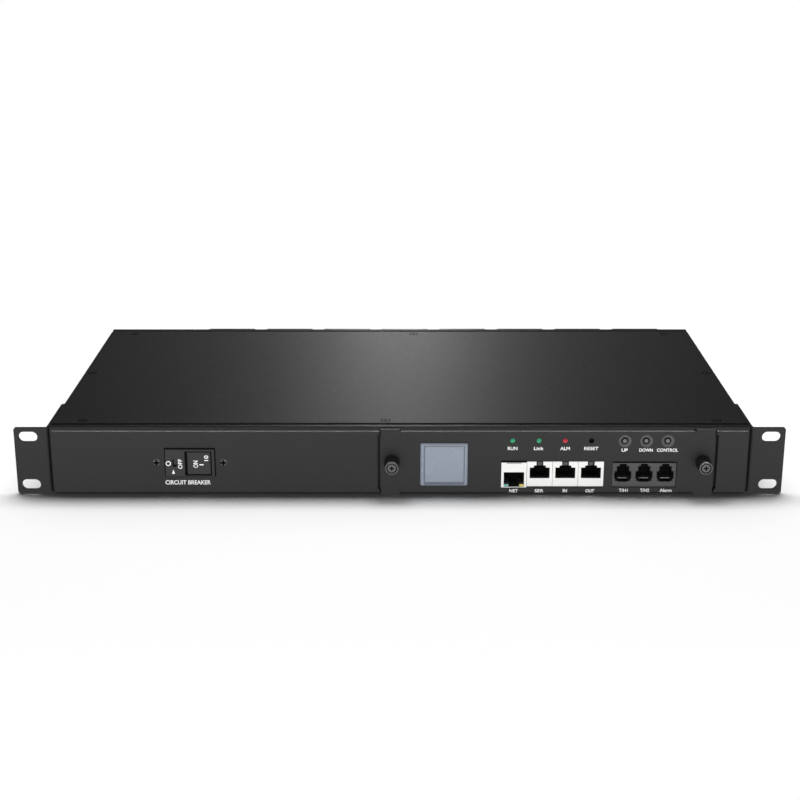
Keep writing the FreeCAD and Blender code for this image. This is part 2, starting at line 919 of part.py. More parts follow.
def switch_bodies():
    places = [(x, button_z) for x in button_places()] + [(reset_x, lamp_z)]
    bodies = []
    for x, z in places:
        body = box(span(x, switch_width), (switch_face, display_board_front), span(z, switch_width))
        well = rod(x, z, (switch_face - past, switch_face + switch_well), button_width + 2 * button_play)
        bodies.append(cut(body, well))
    return bodies


def push_button(x, z, recess):
    return rod(x, z, (panel_face + recess, switch_face + switch_well - switch_gap), button_width)


# Jacks

def jack_places():
    return [jack_x + jack_pitch * step for step in range(jack_count)]


def sensor_places():
    return [sensor_x + sensor_pitch * step for step in (-1, 0, 1)]


jack_front = panel_face - jack_face
jack_hole_y = (jack_front - past, jack_front + jack_hole_depth)
jack_floor = board_top + jack_foot + jack_sill
net_ceiling = net_top - net_brow
sensor_floor = board_top + sensor_sill
sensor_front = panel_face + sensor_recess


def net_jack():
    """An eight-way jack with its latch slot below."""
    x = jack_places()[0]
    housing = box(span(x, jack_width), (jack_front, jack_front + jack_length),
                  (board_top, net_top - net_drop))
    latch_floor = board_top + net_latch_sill
    plug_floor = latch_floor + net_latch_height
    steps = [(net_latch_width, net_latch_height), (net_plug_width, net_ceiling - plug_floor)]
    return cut(housing, stepped_hole(x, latch_floor, steps, jack_hole_y))


def link_jack(x):
    """An eight-way jack with its latch slot above, open at the top edge."""
    y = (jack_front, jack_front + jack_length)
    housing = box(span(x, jack_width), y, (board_top + jack_foot, jack_top))
    heel = box(span(x, jack_width), (panel_back + past, y[1]), (board_top, board_top + jack_foot))
    latch_height = jack_top + past - jack_floor - plug_height - latch_shoulder_height
    steps = [
        (plug_width, plug_height),
        (latch_shoulder_width, latch_shoulder_height),
        (latch_width, latch_height),
    ]
    return cut(fuse(housing, heel), stepped_hole(x, jack_floor, steps, jack_hole_y))


def sensor_jacks():
    """Three six-way jacks moulded as one block."""
    y = (sensor_front, sensor_front + sensor_length)
    block = box(span(sensor_x, sensor_block), y, (board_top + sensor_foot, sensor_top))
    heel = box(span(sensor_x, sensor_block), (panel_back + past, y[1]), (board_top, board_top + sensor_foot))
    steps = [
        (sensor_key_width, sensor_key_height),
        (sensor_plug_width, sensor_plug_height),
        (sensor_shoulder_width, sensor_shoulder_height),
        (sensor_latch_width, sensor_latch_height),
    ]
    hole_y = (sensor_front - past, sensor_front + sensor_hole_depth)
    holes = [stepped_hole(x, sensor_floor, steps, hole_y) for x in sensor_places()]
    return cut(fuse(block, heel), *holes)


def contact_row(x, z, count, face):
    start = face + contact_inset
    offsets = [contact_pitch * (step - (count - 1) / 2) for step in range(count)]
    return [box(span(x + shift, contact_width), (start, start + contact_length), (z, z + contact_height))
            for shift in offsets]


def jack_contacts():
    rows = contact_row(jack_places()[0], net_ceiling - contact_height, jack_contact_count, jack_front)
    for x in jack_places()[1:]:
        rows += contact_row(x, jack_floor, jack_contact_count, jack_front)
    for x in sensor_places():
        rows += contact_row(x, sensor_floor, sensor_contact_count, sensor_front - contact_inset / 2)
    return rows


# Components on the control board

def component(x, y, width, depth, height):
    """A block on the board, placed by its middle in X and its front in Y."""
    return box(span(x, width), (y, y + depth), (board_top, board_top + height))


def can(x, y, width, height, level=0.0):
    """An upright cylinder that starts at a level above the board."""
    return Part.makeCylinder(width / 2, height, Vector(x, y, board_top + level))


def capacitor(x, y):
    body = can(x, y, capacitor_width, capacitor_height)
    end = board_top + capacitor_height
    body = body.makeFillet(capacitor_round, [e for e in body.Edges if abs(e.BoundBox.ZMin - end) < same])
    groove = can(x, y, capacitor_width + past, capacitor_groove, capacitor_groove_height)
    core = can(x, y, capacitor_width - capacitor_groove, capacitor_groove, capacitor_groove_height)
    return cut(body, cut(groove, core))


def board_components():
    """Line transformer, processor, memory, capacitors, relay and sounder."""
    transformer_y = jack_front + jack_length + component_gap
    processor_x = jack_places()[2]
    processor_y = transformer_y + transformer_depth + component_gap
    memory_x = processor_x + processor_width / 2 + component_gap + memory_width / 2
    capacitor_y = sensor_front + sensor_length + component_gap + capacitor_width / 2
    relay_y = capacitor_y + capacitor_width / 2 + component_gap
    relay = component(sensor_x, relay_y, relay_width, relay_depth, relay_height)
    sounder_y = display_board_front + board_sheet + component_gap + sounder_width / 2
    hole_start = sounder_height - sounder_hole_depth
    hole = can(lens_x, sounder_y, sounder_hole, sounder_hole_depth + past, hole_start)
    return [
        component(jack_places()[0], transformer_y, transformer_width, transformer_depth, transformer_height),
        component(processor_x, processor_y, processor_width, processor_width, processor_height),
        component(memory_x, processor_y, memory_width, memory_depth, memory_height),
        *[capacitor(sensor_x + capacitor_pitch * step, capacitor_y) for step in (-1, 0, 1)],
        round_edges(relay, relay_corner, Vector(0, 0, 1)),
        cut(can(lens_x, sounder_y, sounder_width, sounder_height), hole),
    ]


# Captive thumbscrews

collar_front = panel_face - collar_length
knob_back = collar_front - knob_gap
knob_front = knob_back - knob_length
ring_y = (panel_back - ring_back_gap - ring_sheet, panel_back - ring_back_gap)


def thumb_collar(x):
    outside = rod(x, 0, (collar_front, panel_face), collar_width)
    shank = rod(x, 0, (panel_face, panel_back), collar_shank)
    hole = rod(x, 0, (collar_front - past, panel_back), thumb_shank + 2 * thread_play)
    chamber = rod(x, 0, (collar_front + collar_front_wall, panel_back + past), collar_chamber)
    return cut(fuse(outside, shank), hole, chamber)


def retaining_ring(x):
    hole = rod(x, 0, (ring_y[0] - past, ring_y[1] + past), ring_neck + 2 * screw_play)
    return cut(rod(x, 0, ring_y, ring_width), hole)


def thumbscrew(x):
    """A knurled knob with a ring groove and a cross in its face, on a shank necked for its ring."""
    corners = []
    for step in range(2 * knob_teeth + 1):
        angle = math.pi * step / knob_teeth
        radius = knob_width / 2 - (step % 2) * knob_tooth
        corners.append(Vector(x + radius * math.cos(angle), knob_front + knob_rim, radius * math.sin(angle)))
    grip = Part.Face(Part.makePolygon(corners)).extrude(Vector(0, knob_length - knob_rim, 0))
    core = knob_width - 2 * knob_tooth
    rim = taper(x, 0, (knob_front, knob_front + knob_rim), core - knob_rim, core)
    tip = frame_back + nut_length
    shank = rod(x, 0, (knob_back, tip), thumb_shank)
    neck_y = (ring_y[0] - screw_play, ring_y[1] + screw_play)
    neck = cut(rod(x, 0, neck_y, thumb_shank + past), rod(x, 0, neck_y, ring_neck))
    groove_y = (knob_front - past, knob_front + knob_groove_depth)
    groove = cut(rod(x, 0, groove_y, knob_groove_outer), rod(x, 0, groove_y, knob_boss))
    sink = rod(x, 0, (knob_front - past, knob_front + knob_boss_recess), knob_boss + past / 2)
    cross = cross_recess(knob_boss, thumb_cross_width, knob_groove_depth)
    cross = turned(cross, Vector(x, knob_front + knob_boss_recess, 0), Vector(0, -1, 0))
    return cut(fuse(grip, rim, shank), neck, groove, sink, cross)


def thumb_nut(x):
    y = (frame_back, frame_back + nut_length)
    return cut(rod(x, 0, y, nut_width), rod(x, 0, (y[0] - past, y[1] + past), thumb_shank + 2 * thread_play))


# Rear outlets, contact strips and gland

def outlet_places():
    return [outlet_first_x + outlet_pitch * step for step in range(outlet_count)]


outlet_face = rear_face + outlet_proud
slot_bottom = outlet_face - pin_slot_depth
outlet_back = rear_face - outlet_body_depth
tail_end = outlet_back - contact_tail


def contact_tails(x):
    """Earth, live and neutral tails of one outlet, as (place, height) of their middles."""
    shift = contact_tail_height / 2
    return {
        "earth": (x, earth_slot_z),
        "live": (x + pin_slot_x, pin_slot_z - shift),
        "neutral": (x - pin_slot_x, pin_slot_z + shift),
    }


def tail_block(place):
    x, z = place
    return box(span(x, contact_tail_width), (tail_end, outlet_back), span(z, contact_tail_height))


def pin_slots(x, y, play=0.0):
    """The room of one outlet's three plug pins over a depth, less a play on each side."""
    long_side = pin_slot_long - 2 * play
    short_side = pin_slot_short - 2 * play
    return {
        "earth": box(span(x, short_side), y, span(earth_slot_z, long_side)),
        "live": box(span(x + pin_slot_x, long_side), y, span(pin_slot_z, short_side)),
        "neutral": box(span(x - pin_slot_x, long_side), y, span(pin_slot_z, short_side)),
    }


def outlet(x):
    """A face moulding outside the panel and a base behind it, with slots through both."""
    face = box(span(x, outlet_width), (rear_face, outlet_face), span(0, outlet_height))
    face = round_edges(face, outlet_corner, Vector(0, 1, 0))
    rim = [e for e in face.Edges if abs(e.BoundBox.YMin - outlet_face) < same]
    face = face.makeChamfer(outlet_chamfer, rim)
    base = box(span(x, outlet_body_width), (outlet_back, rear_face), span(0, outlet_body_height))
    inset = 2 * outlet_face_inset
    dish = box(span(x, outlet_width - inset), (outlet_face - outlet_face_recess, outlet_face + past),
               span(0, outlet_height - inset))
    slots = pin_slots(x, (outlet_back - past, outlet_face + past)).values()
    return [cut(face, dish, *slots), cut(base, *slots)]


def contact_strip(name, way):
    """One conductor: a strip behind the outlets, with a tail to the contact in each slot."""
    places = [contact_tails(x)[name] for x in outlet_places()]
    level = places[0][1] + way * contact_tail_height / 2
    x = (places[0][0] - contact_tail_width / 2 - strip_overhang, places[-1][0] + contact_tail_width / 2)
    z = sorted((level, level + way * strip_height))
    strip = box(x, (tail_end, tail_end + strip_sheet), z)
    tails = [tail_block(place) for place in places]
    contacts = [pin_slots(x, (outlet_back, slot_bottom), screw_play)[name] for x in outlet_places()]
    return fuse(strip, *tails, *contacts)


gland_outer_end = rear_face + gland_flange + gland_outer_thread
gland_inner_end = rear_face - gland_inner_thread
gland_cap_start = rear_face + gland_flange
gland_cap_stop = gland_cap_start + gland_cap_length


def gland_bore_through(y):
    return rod(gland_x, 0, (y[0] - past, y[1] + past), gland_bore)


def gland_body():
    y = (gland_inner_end, gland_outer_end)
    stem = rod(gland_x, 0, y, gland_thread)
    flange = hexagon(gland_x, 0, (rear_face, rear_face + gland_flange), gland_hex)
    return cut(fuse(stem, flange), gland_bore_through(y))


def gland_locknut():
    y = (rear_inner - locknut_length, rear_inner)
    hole = rod(gland_x, 0, (y[0] - past, y[1] + past), gland_thread + 2 * screw_play)
    return cut(hexagon(gland_x, 0, y, gland_hex), hole)


def gland_cap():
    grip = hexagon(gland_x, 0, (gland_cap_start, gland_cap_stop - gland_cap_nose_length), gland_hex)
    nose_y = (gland_cap_stop - gland_cap_nose_length, gland_cap_stop)
    nose = taper(gland_x, 0, nose_y, gland_hex, gland_cap_nose)
    thread_y = (gland_cap_start - past, gland_outer_end)
    thread = rod(gland_x, 0, thread_y, gland_thread + 2 * screw_play)
    return cut(fuse(grip, nose), thread, gland_bore_through((gland_cap_start, gland_cap_stop)))


# Inner pieces

def terminal_block():
    y = (terminal_front, terminal_front + terminal_depth)
    body = box(span(terminal_x, terminal_width), y, (floor, floor + terminal_height))
    holes = []
    for x in terminal_places():
        holes.append(rod(x, lead_level, (y[0] - past, y[0] + terminal_hole_depth), terminal_hole))
        holes.append(rod(x, lead_level, (y[1] - terminal_hole_depth, y[1] + past), terminal_hole))
    return cut(body, *holes)


def terminal_places():
    return [terminal_x + terminal_pitch * step for step in (-1, 0, 1)]


lead_level = floor + terminal_height / 2


def power_supply():
    block = box(span(supply_x, supply_width), (supply_front, supply_front + supply_depth),
                (floor, floor + supply_height))
    return round_edges(block, supply_corner, Vector(0, 0, 1))


def current_transformer():
    y = (sensor_ring_front, sensor_ring_front + sensor_ring_depth)
    level = floor + sensor_ring_width / 2
    hole = rod(sensor_ring_x, level, y, sensor_ring_hole)
    return cut(rod(sensor_ring_x, level, y, sensor_ring_width), hole)


def lead(points):
    """An insulated lead: straight runs joined by tangent arcs."""
    points = [Vector(*p) for p in points]
    edges = []
    here = points[0]
    for before, corner, after in zip(points, points[1:], points[2:]):
        into = (corner - before).normalize()
        out = (after - corner).normalize()
        turn = into.getAngle(out)
        reach = lead_bend * math.tan(turn / 2)
        start = corner - into * reach
        end = corner + out * reach
        middle = corner + (out - into).normalize() * (lead_bend / math.cos(turn / 2) - lead_bend)
        edges.append(Part.makeLine(here, start))
        edges.append(Part.Arc(start, middle, end).toShape())
        here = end
    edges.append(Part.makeLine(here, points[-1]))
    section = Part.Wire(Part.makeCircle(lead_width / 2, points[0], points[1] - points[0]))
    return Part.Wire(edges).makePipeShell([section], True, False)


def internal_leads():
    """Terminal to breaker, breaker through the current transformer to live, and neutral and earth."""
    breaker_back = panel_back + breaker_body_depth
    line_x = breaker_x - breaker_body_width / 4
    load_x = breaker_x + breaker_body_width / 4
    ring_level = floor + sensor_ring_width / 2
    live_z = contact_tails(0)["live"][1] - contact_tail_height / 2 - strip_height / 2
    neutral_z = contact_tails(0)["neutral"][1] + contact_tail_height / 2 + strip_height / 2
    earth_z = contact_tails(0)["earth"][1] + contact_tail_height / 2 + strip_height / 2
    first = outlet_first_x - pin_slot_x
    left, middle, right = terminal_places()
    front = terminal_front + terminal_hole_depth
    rear = terminal_front + terminal_depth - terminal_hole_depth
    run = 3 * lead_bend
    behind = terminal_front + terminal_depth + run
    supply = [
        (right, front, lead_level),
        (right, terminal_front - run, lead_level),
        (line_x, breaker_back + run, 0),
        (line_x, breaker_back, 0),
    ]
    live = [
        (load_x, breaker_back, 0),
        (load_x, breaker_back + run, 0),
        (sensor_ring_x, sensor_ring_front - run, ring_level),
        (sensor_ring_x, sensor_ring_front + sensor_ring_depth, ring_level),
        (sensor_ring_x, tail_end - lead_bend, live_z),
        (sensor_ring_x, tail_end, live_z),
    ]
    neutral = [
        (right, rear, lead_level),
        (right, behind, lead_level),
        (first, tail_end - run, neutral_z),
        (first, tail_end, neutral_z),
    ]
    earth = [
        (middle, rear, lead_level),
        (middle, behind, lead_level),
        (outlet_first_x, tail_end - run, earth_z),
        (outlet_first_x, tail_end, earth_z),
    ]
    return [lead(route) for route in (supply, live, neutral, earth)]


plug_rear = board_rear + board_plug_length / 2
socket_front = plug_rear + module_travel_room
backplane_front = socket_front + socket_length


def module_plug():
    return box(span(module_x, board_plug_width), (plug_rear - board_plug_length, plug_rear),
               (board_top, board_top + board_plug_height))


def backplane_socket():
    middle = board_top + board_plug_height / 2
    return box(span(module_x, socket_width), (socket_front, backplane_front), span(middle, socket_height))


def backplane_board():
    return box(span(module_x, backplane_width), (backplane_front, backplane_front + board_sheet),
               (floor, floor + backplane_height))


def card_guides():
    """Grooved rails on the chassis floor that the control board slides in."""
    groove_end = board_left - guide_play
    y = (guide_start, guide_start + guide_length)
    rail = box((groove_end - guide_wall, groove_end + guide_grip), y, (floor, floor + guide_height))
    groove = box((groove_end, groove_end + guide_grip + past), (y[0] - past, y[1] + past),
                 (board_bottom - guide_play, board_top + guide_play))
    guide = cut(rail, groove)
    return [guide, mirrored(guide, module_x)]


def build():
    left, right = thumb_places()
    ear = rack_ear()
    lamps = lamp_places()
    buttons = button_places()
    nodes = {
        "chassis_tray": chassis_tray(),
        "front_frame": front_frame(),
        "rear_entry_plate": rear_entry_plate(),
        "rear_panel": rear_panel(),
        "top_cover": top_cover(),
        "cover_screws": cover_screws(),
        "rack_ear_right": ear,
        "rack_ear_left": mirrored(ear),
        "ear_screws": ear_screws(),
        "front_panel_left": front_panel_left(),
        "front_panel_right": front_panel_right(),
        "breaker_body": breaker_body(),
        "breaker_rocker": breaker_rocker(),
        "breaker_screws": breaker_screws(),
        "module_faceplate": module_faceplate(),
        "control_board": control_board(),
        "board_mounts": board_mounts(),
        "display_board": display_board(),
        "lcd_lens": lcd_lens(),
        "lcd_frame": lcd_frame(),
        "green_lamps": [status_lamp(lamps[0]), status_lamp(lamps[1])],
        "red_lamp": status_lamp(lamps[2]),
        "switch_bodies": switch_bodies(),
        "up_button": push_button(buttons[0], button_z, button_recess),
        "down_button": push_button(buttons[1], button_z, button_recess),
        "control_button": push_button(buttons[2], button_z, button_recess),
        "reset_button": push_button(reset_x, lamp_z, reset_recess),
        "net_jack": net_jack(),
        "serial_jack": link_jack(jack_places()[1]),
        "link_in_jack": link_jack(jack_places()[2]),
        "link_out_jack": link_jack(jack_places()[3]),
        "sensor_jacks": sensor_jacks(),
        "jack_contacts": jack_contacts(),
        "board_components": board_components(),
        "thumb_collars": [thumb_collar(left), thumb_collar(right)],
        "retaining_ring_left": retaining_ring(left),
        "retaining_ring_right": retaining_ring(right),
        "thumbscrew_left": thumbscrew(left),
        "thumbscrew_right": thumbscrew(right),
        "thumb_nuts": [thumb_nut(left), thumb_nut(right)],
        "contact_strips": [
            contact_strip("live", -1),
            contact_strip("neutral", 1),
            contact_strip("earth", 1),
        ],
        "gland_body": gland_body(),
        "gland_locknut": gland_locknut(),
        "gland_cap": gland_cap(),
        "terminal_block": terminal_block(),
        "power_supply": power_supply(),
        "current_transformer": current_transformer(),
        "internal_leads": internal_leads(),
        "module_plug": module_plug(),
        "backplane_socket": backplane_socket(),
        "backplane_board": backplane_board(),
        "card_guides": card_guides(),
    }
    for number, x in enumerate(outlet_places(), start=1):
        nodes["outlet_%d" % number] = outlet(x)
    return nodes


def main():
    os.makedirs("parts", exist_ok=True)
    for name, shape in build().items():
        if isinstance(shape, list):
            shape = Part.makeCompound(shape)
        shape.exportStep("parts/%s.step" % name)


main()
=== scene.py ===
import math
import bmesh
import bpy
from mathutils import Matrix, Vector


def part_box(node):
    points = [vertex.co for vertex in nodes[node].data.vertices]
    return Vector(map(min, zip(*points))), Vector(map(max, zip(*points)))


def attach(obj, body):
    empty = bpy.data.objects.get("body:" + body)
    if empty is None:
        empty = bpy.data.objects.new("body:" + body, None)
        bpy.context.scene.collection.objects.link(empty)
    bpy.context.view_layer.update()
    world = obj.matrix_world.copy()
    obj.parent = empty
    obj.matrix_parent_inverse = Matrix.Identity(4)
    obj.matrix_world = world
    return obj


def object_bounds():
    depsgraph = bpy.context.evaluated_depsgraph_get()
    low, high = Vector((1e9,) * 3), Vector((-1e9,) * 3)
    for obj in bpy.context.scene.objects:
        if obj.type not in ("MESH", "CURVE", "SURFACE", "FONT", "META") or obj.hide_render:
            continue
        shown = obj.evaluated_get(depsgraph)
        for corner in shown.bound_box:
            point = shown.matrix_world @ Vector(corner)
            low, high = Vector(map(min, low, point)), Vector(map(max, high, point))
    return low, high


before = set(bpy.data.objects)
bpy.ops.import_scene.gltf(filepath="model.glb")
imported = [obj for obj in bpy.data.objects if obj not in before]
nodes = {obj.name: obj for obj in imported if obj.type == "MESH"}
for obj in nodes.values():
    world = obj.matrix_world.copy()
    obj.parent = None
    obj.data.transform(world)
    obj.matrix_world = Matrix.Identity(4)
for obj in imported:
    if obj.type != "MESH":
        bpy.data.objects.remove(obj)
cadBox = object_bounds()
mm = 0.001
weld = {"ink": 0.0005, "trim": 0.001}  # points closer than so many mm are merged
print("frame loaded:", len(nodes), "nodes")


# Helpers for meshes and materials

def toLinear(hexColour):
    # the standard sRGB curve, with a full alpha
    parts = [int(hexColour[i:i + 2], 16) / 255 for i in (1, 3, 5)]
    return [p / 12.92 if p <= 0.04045 else ((p + 0.055) / 1.055) ** 2.4 for p in parts] + [1.0]


def perMetre(millimetres):
    return 1 / (millimetres * mm)  # texture scale for a pattern of that real size


def addNode(owner, kind, settings=None, values=None, links=None):
    node = owner.node_tree.nodes.new("ShaderNode" + kind)
    for name, value in (settings or {}).items():
        setattr(node, name, value)
    for name, value in (values or {}).items():
        node.inputs[name].default_value = value
    for name, source in (links or {}).items():
        owner.node_tree.links.new(source, node.inputs[name])
    return node


def startMaterial(name, values):
    material = bpy.data.materials.new(name)
    material.use_nodes = True
    shader = material.node_tree.nodes["Principled BSDF"]
    for socket, value in values.items():
        shader.inputs[socket].default_value = value
    return material, shader, addNode(material, "TexCoord").outputs["Object"]


def link(material, source, target):
    material.node_tree.links.new(source, target)


def frontOf(node):
    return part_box(node)[0].y


def centreOf(node):
    low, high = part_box(node)
    return (low + high) / 2


def vertsOf(geometry):
    return [part for part in geometry if isinstance(part, bmesh.types.BMVert)]


def finishPiece(bm, name, material, body):
    mesh = bpy.data.meshes.new(name)
    bm.to_mesh(mesh)
    bm.free()
    piece = bpy.data.objects.new(name, mesh)
    bpy.context.scene.collection.objects.link(piece)
    mesh.materials.append(material)
    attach(piece, body)


# Materials

edgeSamples = 6  # rays with which a Bevel node softens an edge
mouldedDetail, drawnDetail = 3.0, 4.0  # octaves of a moulded grain and of drawn marks
colourA, colourB, colourOut = 6, 7, 2  # a Mix node's colour sockets, which share their names with others


def paintShadeInside(material, place, base, rough, inside):
    # painted shade: darker and dull wherever the surface lies deeper than a piece's front skin, where
    # shade falls in wells and recesses
    depth = addNode(material, "SeparateXYZ", links={"Vector": place}).outputs["Y"]
    deep = addNode(material, "Math", {"operation": "GREATER_THAN"},
                   {1: frontOf(inside["node"]) + inside["skin"] * mm}, {0: depth}).outputs["Value"]
    colour = addNode(material, "Mix", {"data_type": "RGBA"}, {colourB: toLinear(inside["colour"])},
                     {"Factor": deep, colourA: base})
    dull = addNode(material, "Math", {"operation": "MAXIMUM"}, links={0: rough, 1: deep})
    return colour.outputs[colourOut], dull.outputs["Value"]


def finishSurface(material, shader, place, grain, finish):
    # colour, roughness and a slight relief follow one grain, over softened edges
    colour = addNode(material, "Mix", {"data_type": "RGBA"},
                     {colourA: toLinear(finish["dark"]), colourB: toLinear(finish["light"])},
                     {"Factor": grain})
    rough = addNode(material, "MapRange",
                    values={"To Min": finish["rough"][0], "To Max": finish["rough"][1]},
                    links={"Value": grain})
    edge = addNode(material, "Bevel", {"samples": edgeSamples}, {"Radius": finish["edge"] * mm})
    bump = addNode(material, "Bump", values={"Strength": 1.0, "Distance": finish["depth"] * mm},
                   links={"Height": grain, "Normal": edge.outputs["Normal"]})
    base, dull = colour.outputs[colourOut], rough.outputs["Result"]
    # painted shade inside wells and recesses, where a finish asks for it
    if "inside" in finish:
        base, dull = paintShadeInside(material, place, base, dull, finish["inside"])
    link(material, base, shader.inputs["Base Color"])
    link(material, dull, shader.inputs["Roughness"])
    link(material, bump.outputs["Normal"], shader.inputs["Normal"])


def powderCoatedSteel():
    # Polyester powder coat baked on steel sheet: satin black, a fine orange peel that breaks up highlights
    coat = {"dark": "#171717", "light": "#1b1b1b", "cloud": 45.0, "cloudDetail": 4.0, "grain": 0.9,
            "peel": 3.0, "fineDetail": 2.0, "rough": (0.34, 0.58), "grainDepth": 0.02, "peelDepth": 0.055,
            "edge": 0.35}
    material, shader, place = startMaterial("powderCoatedSteel", {"IOR": 1.5, "Specular IOR Level": 0.5})
    cloud = addNode(material, "TexNoise", links={"Vector": place},
                    values={"Scale": perMetre(coat["cloud"]), "Detail": coat["cloudDetail"]})
    colour = addNode(material, "Mix", {"data_type": "RGBA"},
                     {colourA: toLinear(coat["dark"]), colourB: toLinear(coat["light"])},
                     {"Factor": cloud.outputs["Fac"]})
    # real grit is about 0.2 mm, drawn coarser so that it shows in the render
    grain = addNode(material, "TexNoise", links={"Vector": place},
                    values={"Scale": perMetre(coat["grain"]), "Detail": coat["fineDetail"]})
    peel = addNode(material, "TexNoise", links={"Vector": place},
                   values={"Scale": perMetre(coat["peel"]), "Detail": coat["fineDetail"]})
    rough = addNode(material, "MapRange", values={"To Min": coat["rough"][0], "To Max": coat["rough"][1]},
                    links={"Value": grain.outputs["Fac"]})
    edge = addNode(material, "Bevel", {"samples": edgeSamples}, {"Radius": coat["edge"] * mm})
    wave = addNode(material, "Bump", values={"Strength": 1.0, "Distance": coat["peelDepth"] * mm},
                   links={"Height": peel.outputs["Fac"], "Normal": edge.outputs["Normal"]})
    grit = addNode(material, "Bump", values={"Strength": 1.0, "Distance": coat["grainDepth"] * mm},
                   links={"Height": grain.outputs["Fac"], "Normal": wave.outputs["Normal"]})
    link(material, colour.outputs[colourOut], shader.inputs["Base Color"])
    link(material, rough.outputs["Result"], shader.inputs["Roughness"])
    link(material, grit.outputs["Normal"], shader.inputs["Normal"])
    return material


def mouldedPlastic(name, finish):
    # Injection moulded plastic: one colour through, a fine spark-eroded texture, slightly softened edges;
    # ink, and the near black laid on as painted shade, are made in the same way, with their own grain
    material, shader, place = startMaterial(name, finish["shader"])
    grain = addNode(material, "TexNoise", links={"Vector": place},
                    values={"Scale": perMetre(finish["grain"]), "Detail": mouldedDetail})
    finishSurface(material, shader, place, grain.outputs["Fac"], finish)
    return material


